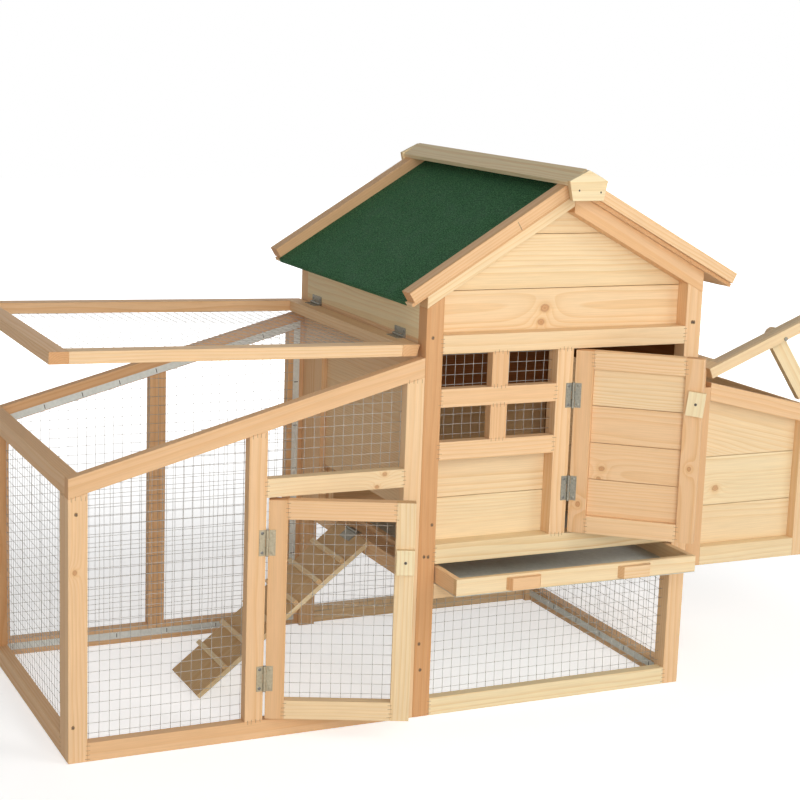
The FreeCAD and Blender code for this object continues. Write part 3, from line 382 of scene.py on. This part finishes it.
def knots_of_board(knots, turn, middle, half, wild, rng):
    """The two knots of a board: those listed that lie in it, or else one by chance."""
    here = []
    for where, radius in knots:
        at = turn @ where - middle
        if all(abs(at[i]) < half[i] + KNOT_REACH for i in range(3)):
            here.append((at.x, at.y, radius))
    if rng.random() < wild and not here:
        here.append((half.x * rng.uniform(-0.8, 0.8), half.y * rng.uniform(-0.6, 0.6),
                     rng.uniform(0.004, 0.006)))
    return here + [(0.0, 0.0, 0.0)] * (2 - len(here))


def write_attribute(mesh, name, values, domain="POINT"):
    """Gives a mesh a number or a vector for each point or face."""
    if isinstance(values[0], float):
        mesh.attributes.new(name, "FLOAT", domain).data.foreach_set("value", values)
    else:
        flat = [c for value in values for c in value]
        mesh.attributes.new(name, "FLOAT_VECTOR", domain).data.foreach_set("vector", flat)


def for_board(values, count):
    """A board's value in a list, of which the last stands for all that follow."""
    return values[min(count, len(values) - 1)]


def timber(node, body, tones, knots=(), shrink=0.0, wild=0.0, rough=None, painted_shade_depth=(1.0,)):
    """Each solid of a CAD node as a board with its own grain and tone, its edges eased. Boards that
    meet edge to edge shrink a little, and wild is the share of boards that have a knot somewhere.
    Faces that look the rough way take painted shade, darker by the share that painted_shade_depth gives
    each board."""
    points, polygons, ends = [], [], []
    marks = {name: [] for name in ("grain_at", "seed", "tone", "knot_a", "knot_b")}
    rng = random.Random(node)
    solids = solids_of(node)
    centres = [sum(corners, Vector()) / len(corners) for corners, _ in solids]
    for count, (corners, triangles) in enumerate(solids):
        work = editable(corners, triangles)
        bmesh.ops.recalc_face_normals(work, faces=work.faces)
        bmesh.ops.dissolve_limit(work, angle_limit=0.01, verts=work.verts, edges=work.edges)
        work.normal_update()
        along, across, out = board_axes(work)
        turn = Matrix((along, across, out))
        local = [turn @ v.co for v in work.verts]
        lows = Vector([min(p[i] for p in local) for i in range(3)])
        highs = Vector([max(p[i] for p in local) for i in range(3)])
        middle, half = (lows + highs) / 2, (highs - lows) / 2
        meets = neighbour_sides(centres[count], centres, turn, half) if shrink else ()
        knot_a, knot_b = knots_of_board(knots, turn, middle, half, wild, rng)
        seed = rng.random()
        tone = for_board(tones, count) + rng.uniform(-0.05, 0.05)
        start = len(points)
        work.verts.index_update()
        for vert, at in zip(work.verts, local):
            off = at - middle
            inward = -math.copysign(shrink, off.y) if (off.y > 0) in meets else 0.0
            points.append(vert.co + across * inward)
            for name, value in zip(marks, (off, seed, tone, knot_a, knot_b)):
                marks[name].append(value)
        for face in work.faces:
            polygons.append([start + v.index for v in face.verts])
            # Faces that look the rough way are marked past 1 for painted shade; end faces are marked 1
            # for end grain
            if rough and face.normal.dot(rough) > 0.9:
                ends.append(1.0 + for_board(painted_shade_depth, count))
            else:
                ends.append(1.0 if abs(face.normal.dot(along)) > 0.7 else 0.0)
        work.free()
    mesh = bpy.data.meshes.new(node + "_timber")
    mesh.from_pydata(points, [], polygons)
    for name, values in marks.items():
        write_attribute(mesh, name, values)
    write_attribute(mesh, "end_grain_and_painted_shade", ends, "FACE")
    return place_piece(mesh, node + "_timber", body, PINE, [node], EASED_EDGE)


# Nets and small pieces
class Pile:
    """Many small solids that make up one piece."""

    def __init__(self):
        self.points, self.faces = [], []

    def loft(self, rings):
        """Adds a closed solid through rings of points, which have as many points each."""
        start, sides = len(self.points), len(rings[0])
        last = start + (len(rings) - 1) * sides
        for ring in rings:
            self.points += ring
        for low in range(start, last, sides):
            for k in range(sides):
                a, b = low + k, low + (k + 1) % sides
                self.faces.append([a, b, b + sides, a + sides])
        self.faces.append(list(range(start, start + sides))[::-1])
        self.faces.append(list(range(last, last + sides)))

    def tube(self, points, radius, normal):
        """Adds a thin round wire through points that lie close to a plane."""
        rings = []
        for i, p in enumerate(points):
            ahead = points[min(i + 1, len(points) - 1)] - points[max(i - 1, 0)]
            across = normal.cross(ahead).normalized()
            angles = [2 * math.pi * k / WIRE_SIDES for k in range(WIRE_SIDES)]
            rings.append([p + across * (radius * math.cos(angle)) + normal * (radius * math.sin(angle))
                          for angle in angles])
        self.loft(rings)

    def bar(self, middle, along, across, outward, size):
        """Adds a small bar with its long edges rounded off on the side that shows."""
        length, width, height = (value * MM / 2 for value in size)
        rings = []
        for end in (-1, 1):
            ring = []
            for side, level in ((-1, -1), (1, -1), (1, 0.2), (0.5, 1), (-0.5, 1), (-1, 0.2)):
                taper = 1.0 if level < 0.5 else 0.85
                ring.append(middle + along * (end * length * taper) + across * (side * width)
                            + outward * (level * height))
            rings.append(ring)
        self.loft(rings)

    def disc(self, middle, outward, radius, height, rng):
        """Adds a thin, slightly uneven disc."""
        across = outward.cross(UP).normalized()
        other = outward.cross(across)
        rings = []
        for level in (-height, height):
            ring = []
            for k in range(DISC_SIDES):
                angle = 2 * math.pi * k / DISC_SIDES
                reach = radius * rng.uniform(0.85, 1.15)
                side = across * math.cos(angle) * reach + other * math.sin(angle) * reach * 1.2
                ring.append(middle + (side + outward * level) * MM)
            rings.append(ring)
        self.loft(rings)

    def mesh(self, name):
        """The pile as a mesh."""
        mesh = bpy.data.meshes.new(name)
        mesh.from_pydata([tuple(p) for p in self.points], [], self.faces)
        return mesh


def small_piece(name, body, pile, material):
    """Puts a pile of small solids in the scene as a piece of a body."""
    mesh = pile.mesh(name)
    mesh.validate()
    work = bmesh.new()
    work.from_mesh(mesh)
    bmesh.ops.recalc_face_normals(work, faces=work.faces)
    work.to_mesh(mesh)
    work.free()
    return place_piece(mesh, name, body, material, [])


def clip_line(outline, fixed, value):
    """Where a line, straight along the other axis, enters and leaves a convex outline."""
    other = 1 - fixed
    found = []
    for a, b in zip(outline, outline[1:] + outline[:1]):
        if (a[fixed] - value) * (b[fixed] - value) <= 0 and a[fixed] != b[fixed]:
            share = (value - a[fixed]) / (b[fixed] - a[fixed])
            found.append(a[other] + share * (b[other] - a[other]))
    return (min(found), max(found)) if len(found) > 1 else None


def hull(points):
    """The convex outline of points in a plane, turning left."""
    points = sorted(set(points))

    def half(run):
        """The outline below the points from left to right, or above them from right to left."""
        line = []
        for p in run:
            while len(line) > 1 and ((line[-1][0] - line[-2][0]) * (p[1] - line[-2][1])
                                     - (line[-1][1] - line[-2][1]) * (p[0] - line[-2][0])) <= 0:
                line.pop()
            line.append(p)
        return line[:-1]

    return half(points) + half(points[::-1])


def welded_net(node, body):
    """The real welded wire of a CAD net, a little uneven."""
    pile = Pile()
    rng = random.Random(node + "_wires")
    for corners, triangles in solids_of(node):
        work = editable(corners, triangles)
        work.normal_update()
        normal = largest(work.faces)
        work.free()
        if abs(normal.z) < 0.5:
            v = UP.copy()
            u = v.cross(normal).normalized()
        else:
            u = BACK.cross(normal).normalized()
            v = normal.cross(u).normalized()
        level = sum((c.dot(normal) for c in corners)) / len(corners)
        flat = hull([(round(c.dot(u), 6), round(c.dot(v), 6)) for c in corners])
        waves = [(rng.uniform(0.15, 0.4), rng.uniform(0, 6.28), rng.uniform(0.15, 0.4)) for _ in range(3)]

        def raised(a, b):
            """How far the net stands out of its plane at a place."""
            return sum(WIRE_WAVE * math.sin(a / wide + start + b / high) for wide, start, high in waves)

        for fixed in (0, 1):    # wires one way lie before the sheet, those the other way behind it
            side = WIRE_RADIUS * (0.9 if fixed else -0.9)
            line = min(p[fixed] for p in flat) + WIRE_RADIUS
            last = max(p[fixed] for p in flat) - WIRE_RADIUS
            while line <= last:
                span = clip_line(flat, fixed, line)
                if span and span[1] - span[0] > WIRE_PITCH / 2:
                    count = max(2, int((span[1] - span[0]) / (WIRE_PITCH * 3)) + 1)
                    points = []
                    for i in range(count + 1):
                        inner = 0 < i < count
                        run = span[0] + (span[1] - span[0]) * i / count
                        drift = rng.uniform(-WIRE_DRIFT, WIRE_DRIFT) if inner else 0.0
                        a, b = (line + drift, run) if fixed == 0 else (run, line + drift)
                        lift = raised(a, b) if inner else 0.0
                        points.append(u * a + v * b + normal * (level + side + lift))
                    pile.tube(points, WIRE_RADIUS, normal)
                line += WIRE_PITCH
    mesh = pile.mesh(node + "_wires")
    mesh.polygons.foreach_set("use_smooth", [True] * len(mesh.polygons))
    return place_piece(mesh, node + "_wires", body, WIRE, [node])


# Where things are on the doors and the slopes
def door_axes(door):
    """Directions of an open door: away from its pin, and through it from front to back."""
    turn = math.radians(-door[1])
    return Vector((math.cos(turn), math.sin(turn), 0)), Vector((-math.sin(turn), math.cos(turn), 0))


def on_door(door, reach, height, depth=0.0):
    """A point on an open door: reach from its pin, height, depth behind its front face."""
    ahead, inward = door_axes(door)
    pin = spot(door[0], HINGE_PIN_DEPTH, height)
    return pin + ahead * reach * MM + inward * (depth - HINGE_PIN_DEPTH) * MM


def slope_axes(side, angle):
    """Directions of a slope that falls to a side, -1 left or 1 right: down it, and out of it."""
    turn = math.radians(angle)
    return (Vector((side * math.cos(turn), 0, -math.sin(turn))),
            Vector((side * math.sin(turn), 0, math.cos(turn))))


# Boards, each with its grain. Knots are where the wood shows them, each with its radius in metres.
gable_knots = [(spot(266, 35, 780), 0.0070), (spot(259, 35, 753), 0.0055)]
nest_knots = [(spot(677, 22, 398), 0.0055)]
door_board_knots = [(on_door(HOUSE_DOOR, 61, 472, 12), 0.0045),
                    (on_door(HOUSE_DOOR, 56, 452, 12), 0.0030)]
door_frame_knots = [(on_door(HOUSE_DOOR, 229, 489), 0.0035), (on_door(HOUSE_DOOR, 20, 400), 0.0040),
                    (on_door(HOUSE_DOOR, 228, 610), 0.0030)]
run_knots = [(spot(-658, 0, 350), 0.0035), (spot(-75, 0, 485), 0.0035), (spot(-90, 0, 462), 0.0030)]

# Tones run from 0, cream, to 1, orange, in the order of a node's boards.
# The eave boards' first tone, cream 0.0, is partly the wood's own and partly painted light on a board
# that the roof shades
house_timber = {
    "house_posts": (0.92, 0.50, 0.60, 0.50), "house_front_rails": (0.28, 0.12, 0.40, 0.06),
    "window_frame": (0.46, 0.50, 0.62, 0.62, 0.45), "house_back_rails": (0.40, 0.55, 0.30),
    "house_side_rails": (0.50, 0.60, 0.45), "eave_boards": (0.0, 0.30), "pop_door_guides": (0.40,),
    "tray_runners": (0.50,), "rafters": (0.24, 0.60, 0.40, 0.50), "roof_decks": (0.45,),
    "roof_edge_battens": (0.58, 0.70, 0.42, 0.40),
    "run_front_frame": (0.66, 0.64, 0.52, 0.56, 0.38, 0.20),
    "run_back_frame": (0.80, 0.62, 0.70, 0.72, 0.65), "run_end_frame": (0.60, 0.95, 0.66, 0.62),
    "nest_frame": (0.45, 0.72, 0.40, 0.50, 0.40, 0.50, 0.15, 0.40), "nest_floor": (0.30,),
    "ridge_cap": (0.12, 0.12), "ridge_end_plates": (0.05, 0.10),
}
for node, tones in house_timber.items():
    timber(node, "house", tones, run_knots)
timber("gable_boards", "house", (0.30, 0.22, 0.20, 0.45, 0.30, 0.35), gable_knots, BOARD_GAP)
timber("house_front_boards", "house", (0.12, 0.22), shrink=BOARD_GAP)
timber("nest_wall_boards", "house", (0.16, 0.14, 0.18, 0.25), nest_knots, BOARD_GAP)
# Painted shade darkens the back boards' inner faces, the third and later boards in full, so the house is
# dark inside
back_wall = timber("back_wall_boards", "house", (0.40, 0.20, 0.50, 0.30), shrink=BOARD_GAP, wild=0.5,
                   rough=-BACK, painted_shade_depth=(0.0, 0.05, 1.0, 1.0))
# The lowest back board laps its rail, so that no light passes between their eased edges
for low_point in back_wall.data.vertices:
    if low_point.co.z < spot(0, 0, FLOOR_RAIL_TOP + 1).z:
        low_point.co.z -= BOARD_LAP
timber("left_wall_boards", "house", (0.44, 0.40, 0.50), shrink=BOARD_GAP)
# Painted shade darkens the right boards' inner faces in full
timber("right_wall_boards", "house", (0.30, 0.45, 0.30), shrink=BOARD_GAP, wild=0.4, rough=-RIGHT)
timber("run_lid_frame", "run_lid", (0.40, 0.60, 0.38, 0.66))
timber("run_door_frame", "run_door", (0.60, 0.18, 0.22, 0.56))
timber("run_door_button", "run_button", (0.05,))
timber("house_door_frame", "house_door", (0.66, 0.60, 0.40, 0.46), door_frame_knots)
timber("house_door_boards", "house_door", (0.45, 0.44, 0.48, 0.28), door_board_knots, BOARD_GAP)
timber("house_door_button", "house_button", (0.05,))
timber("tray_boards", "tray", (0.14, 0.30, 0.40, 0.30))
timber("tray_handles", "tray", (0.52, 0.34))
timber("pop_door_panel", "pop_door", (0.40,))
# Painted shade darkens the ramp's upper face a little
timber("ramp_board", "ramp", (0.05,), rough=slope_axes(-1, RAMP_ANGLE)[1], painted_shade_depth=(0.12,))
timber("ramp_cleats", "ramp", (0.15,))
timber("nest_lid_frame", "nest_lid", (0.25, 0.30, 0.20))
timber("nest_prop", "prop", (0.10,))

for node in ("window_mesh", "base_mesh", "run_front_mesh", "run_back_mesh", "run_end_mesh"):
    welded_net(node, "house")
welded_net("run_lid_mesh", "run_lid")
welded_net("run_door_mesh", "run_door")

# Pieces that keep their CAD shape
finishes = {
    FELT: ("roof_felts",), STRIP: ("mesh_edge_strips",), CLEAR: ("nest_lid_sheet",),
    TRAY_METAL: ("tray_bottom_sheet",), DARK_STEEL: ("run_door_nail", "house_door_nail"),
    SCREW_STEEL: ("fixed_hinge_screws",), PALE_ZINC: ("run_door_hinges",),
    ZINC: ("fixed_hinge_leaves", "hinge_pins", "run_lid_hinges", "house_door_hinges", "ramp_hinge",
           "nest_lid_hinges", "nest_prop_bolt"),
}
for material, nodes in finishes.items():
    for node in nodes:
        cad_mesh(node).materials.clear()
        cad_mesh(node).materials.append(material)

# The run door's fixed leaves, the only ones so far left and so low, are pale too
leaves = cad_mesh("fixed_hinge_leaves")
leaves.materials.append(PALE_ZINC)
limit = spot(-200, 0, 500)
for polygon in leaves.polygons:
    if polygon.center.x < limit.x and polygon.center.z < limit.z:
        polygon.material_index = 1


# Staples over the joints
def staple_rows(name, body, rows, outward):
    """A row of staples over each joint, which has its middle, the way it runs and the way across it."""
    pile = Pile()
    rng = random.Random(name)
    for middle, run, cross in rows:
        for i in range(STAPLES):
            shift = (i - (STAPLES - 1) / 2) * STAPLE_PITCH + rng.uniform(-1.0, 1.0)
            at = middle + run * (shift * MM) + cross * (rng.uniform(-1.5, 1.5) * MM)
            lean = (cross + run * rng.uniform(-0.10, 0.10)).normalized()
            pile.bar(at, lean, run, outward, (rng.uniform(6.5, 9.5), 0.9, 0.6))
    small_piece(name, body, pile, STAPLE)


def joints(y, run, cross, places):
    """Joints at places right and up, all as far back and all running the same way."""
    return [(spot(x, y, z), run, cross) for x, z in places]


house_upright = [(LEFT_POST, 722), (RIGHT_POST, 722), (LEFT_POST, 621), (280, 621), (LEFT_POST, 520),
                 (280, 520), (LEFT_POST, 321), (RIGHT_POST, 321), (LEFT_POST, 17), (RIGHT_POST, 17)]
house_back = [(x, z) for x in (LEFT_POST, RIGHT_POST) for z in (17, 272, 722)]
window_level = [(157, 705), (157, 639), (157, 604), (157, 538), (297, 705), (297, 340)]
run_level = [(-652, 482), (-323, 572), (-18, 656), (-323, 35)]
run_corners = [(-635, 17), (-35, 17)]
staple_rows("front_joint_staples", "house",
            joints(0, UP, RIGHT, house_upright) + joints(0, RIGHT, UP, window_level + run_level)
            + joints(0, UP, RIGHT, run_corners + [(-306, 474), (-35, 474)]), -BACK)
staple_rows("back_joint_staples", "house",
            joints(HOUSE_DEPTH, UP, RIGHT, run_corners) + joints(HOUSE_DEPTH, RIGHT, UP, run_level)
            + joints(HOUSE_DEPTH, UP, RIGHT, house_back), BACK)
end_joints = [(spot(-RUN_LENGTH, y, 482), BACK, UP) for y in (39, 581)]
end_joints += [(spot(-RUN_LENGTH, y, 17), UP, BACK) for y in (57, 563)]
staple_rows("end_joint_staples", "house", end_joints, -RIGHT)
for name, body, door, edges, levels in (
        ("house_door_staples", "house_door", HOUSE_DOOR, (36.2, 211.2), (360, 685)),
        ("run_door_staples", "run_door", RUN_DOOR, (36.2, 232.2), (56, 435))):
    ahead, inward = door_axes(door)
    rows = [(on_door(door, reach, level), UP, ahead) for reach in edges for level in levels]
    staple_rows(name, body, rows, -inward)

# The felt carried on to the ends of the roof boards and turned down over them
laps = Pile()
for (corners, _), (deck_corners, _) in zip(solids_of("roof_felts"), solids_of("roof_decks")):
    on_right = sum(c.x for c in corners) / len(corners) > spot(HOUSE_MIDDLE, 0, 0).x
    slope, out = slope_axes(1, RIGHT_ROOF_ANGLE) if on_right else slope_axes(-1, LEFT_ROOF_ANGLE)
    front, back = min(c.y for c in corners), max(c.y for c in corners)
    felt_end = max(c.dot(slope) for c in corners) / MM
    deck_end = max(c.dot(slope) for c in deck_corners) / MM
    top = max(c.dot(out) for c in corners) / MM
    for reach, depth, width, thickness in (
            ((felt_end + deck_end + 0.2) / 2, 0.8, 1.6, deck_end - felt_end + 1.8),
            (deck_end + 0.7, 4.3, 8.6, 1.4)):
        at = slope * (reach * MM) + out * ((top - depth) * MM) + BACK * ((front + back) / 2)
        laps.bar(at, BACK, out, slope, ((back - front) / MM, width, thickness))
small_piece("felt_laps", "house", laps, FELT)

# Where two lengths of the left edge batten meet
splice = Pile()
slope, out = slope_axes(-1, LEFT_ROOF_ANGLE)
splice.bar(spot(173.2, BATTEN_FRONT, 943.4), out, slope, -BACK, (19.0, 1.6, 0.5))
small_piece("batten_splice", "house", splice, STAPLE)

# Staples in the strips along the nets' edges
tilt = math.atan(RUN_SLOPE)
along_rail = Vector((math.cos(tilt), 0, math.sin(tilt)))
across_rail = Vector((-math.sin(tilt), 0, math.cos(tilt)))
strips = [(spot(x, STRIP_BACK, RUN_TOP + RUN_SLOPE * x - STRIP_DROP), across_rail, along_rail, -BACK)
          for x in range(-640, -20, 78)]
strips += [(spot(x, STRIP_BACK, STRIP_LEVEL), UP, RIGHT, -BACK) for x in range(-630, -20, 110)]
strips += [(spot(-17, STRIP_BACK, z), RIGHT, UP, -BACK) for z in range(70, 640, 95)]
strips += [(spot(STRIP_RIGHT, y, STRIP_LEVEL), UP, BACK, -RIGHT) for y in range(70, 570, 100)]
strips += [(spot(STRIP_RIGHT, 42, z), BACK, UP, -RIGHT) for z in range(50, 250, 70)]
strip_staples = Pile()
for at, along, across, outward in strips:
    strip_staples.bar(at, along, across, outward, STRIP_STAPLE)
small_piece("strip_staples", "house", strip_staples, DARK_STEEL)

# Nails in the posts and the ridge's end plate, and stains round those in the posts
post_nails = [(13.3, 736.7), (26.4, 379.7), (12.3, 318.5), (20.7, 317.7), (8.8, 147.0), (13.1, 94.5),
              (579.2, 747.6), (583.5, 746.8), (-655.8, 453.6), (-661.2, 67.1)]
plate_nails = [(279.7, 1010.7), (326.0, 1007.0)]
nail_rng = random.Random("nails")
nails, stains = Pile(), Pile()
for x, z in post_nails:
    nails.disc(spot(x, 0, z), -BACK, 1.5, 0.35, nail_rng)
    stains.disc(spot(x, 0, z), -BACK, 3.2, 0.12, nail_rng)
for x, z in plate_nails:
    nails.disc(spot(x, RIDGE_PLATE_FRONT, z), -BACK, 1.7, 0.35, nail_rng)
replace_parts(small_piece("set_nails", "house", nails, DARK_STEEL), "frame_nails")
small_piece("nail_stains", "house", stains, STAIN)


# Camera
def aim(yaw, pitch, roll):
    """Directions right, up and back for a camera turned, tipped and rolled by angles in degrees."""
    a, e, r = (math.radians(angle) for angle in (yaw, pitch, roll))
    forward = Vector((-math.sin(a) * math.cos(e), math.cos(a) * math.cos(e), -math.sin(e)))
    right = forward.cross(UP).normalized()
    up = right.cross(forward)
    return right * math.cos(r) + up * math.sin(r), up * math.cos(r) - right * math.sin(r), -forward


SENSOR = 36.0
PHOTO_WIDTH, FOCAL_LENGTH = 800.0, 1824.9    # in pixels
CAMERA_PLACE, CAMERA_ANGLES = (-1446.85, -2977.51, 1278.89), (-25.145, 11.268, 2.030)
camera = bpy.data.objects.new("camera", bpy.data.cameras.new("camera"))
camera.data.sensor_width = SENSOR
camera.data.lens = SENSOR * FOCAL_LENGTH / PHOTO_WIDTH
camera.data.clip_end = 50.0
axes = Matrix(aim(*CAMERA_ANGLES)).transposed().to_4x4()
camera.matrix_world = Matrix.Translation(spot(*CAMERA_PLACE)) @ axes
bpy.context.scene.collection.objects.link(camera)
bpy.context.scene.camera = camera


# Floor, lamps and background
def seen_directly(nodes):
    """One for camera, mirror and see-through rays, nought for the rays that carry light."""
    path = nodes.add("LightPath")
    seen = path.outputs["Is Camera Ray"]
    for ray in ("Is Glossy Ray", "Is Transmission Ray"):
        seen = nodes.math("MAXIMUM", seen, path.outputs[ray])
    return seen


def floor_surface(name):
    """Pale floor that keeps the object's shadow and whitens with distance."""
    s = Shader(name)
    place = s.own_place()
    distance = s.add("VectorMath", {0: place}, operation="LENGTH").outputs["Value"]
    far = s.ramp(s.over(distance, 8.0), [(0.12, 0.0), (0.40, 1.0)])
    lift = s.times(seen_directly(s), s.plus(0.52, s.times(far, 0.8)))
    shade = s.ramp(s.noise(place, 0.7, 2.0), [(0.3, (0.84, 0.84, 0.84, 1)), (0.7, (0.87, 0.87, 0.87, 1))])
    return s.finish(Base_Color=shade, Emission_Color=(1.0, 1.0, 1.0, 1.0), Emission_Strength=lift,
                    Roughness=0.95, Specular_IOR_Level=0.0)


def area_light(name, at, target, size, power, colour):
    """A soft square lamp that points at a target and isn't seen itself."""
    light = bpy.data.lights.new(name, "AREA")
    light.size = size
    light.energy = power
    light.color = colour
    lamp = bpy.data.objects.new(name, light)
    lamp.location = at
    lamp.rotation_mode = "QUATERNION"
    lamp.rotation_quaternion = (target - at).to_track_quat("-Z", "Y")
    lamp.visible_camera = False
    bpy.context.scene.collection.objects.link(lamp)


FLOOR_REACH, FLOOR_LEVEL = 12, -0.0005    # in metres
floor_corners = [(x * FLOOR_REACH, y * FLOOR_REACH, FLOOR_LEVEL)
                 for x, y in ((-1, -1), (1, -1), (1, 1), (-1, 1))]
floor_mesh = bpy.data.meshes.new("floor")
floor_mesh.from_pydata(floor_corners, [], [(0, 1, 2, 3)])
floor_mesh.materials.append(floor_surface("pale_floor"))
floor = bpy.data.objects.new("floor", floor_mesh)
bpy.context.scene.collection.objects.link(floor)

# Lamps: how far each is from the object's middle, in metres, what it points at, size, power, colour
middle = spot(0, 200, 560)
for name, away, target, size, power, colour in (
        ("front", (-0.62, -3.80, 0.95), (270, 0, 690), 2.6, 90.0, (1.0, 0.99, 0.97)),
        ("high_right", (2.3, -2.6, 2.2), (350, 0, 700), 1.8, 41.0, (1.0, 0.98, 0.94)),
        ("left", (-3.6, -0.6, -0.1), (0, 300, 600), 2.4, 10.0, (1.0, 0.99, 0.96)),
        ("back", (1.6, 4.0, 0.7), (100, 600, 500), 3.2, 34.0, (1.0, 0.98, 0.95))):
    area_light(name, middle + Vector(away), spot(*target), size, power, colour)

LOW_SKY, TOP_SKY = 0.38, 0.14    # the light from level with the object, and from straight above
world = bpy.data.worlds.new("studio")
world.use_nodes = True
sky = Nodes(world.node_tree)
upward = sky.parts(sky.add("TexCoord").outputs["Generated"])[2]
glow = sky.add("MapRange", {"Value": upward, "To Min": LOW_SKY, "To Max": TOP_SKY}).outputs[0]
background = world.node_tree.nodes["Background"]
sky.put(background.inputs[0], (1.0, 1.0, 1.0, 1.0))
sky.put(background.inputs[1], sky.add("Mix", {0: seen_directly(sky), 2: glow, 3: 1.0}).outputs[0])
bpy.context.scene.world = world
bpy.context.scene.view_settings.view_transform = "Standard"
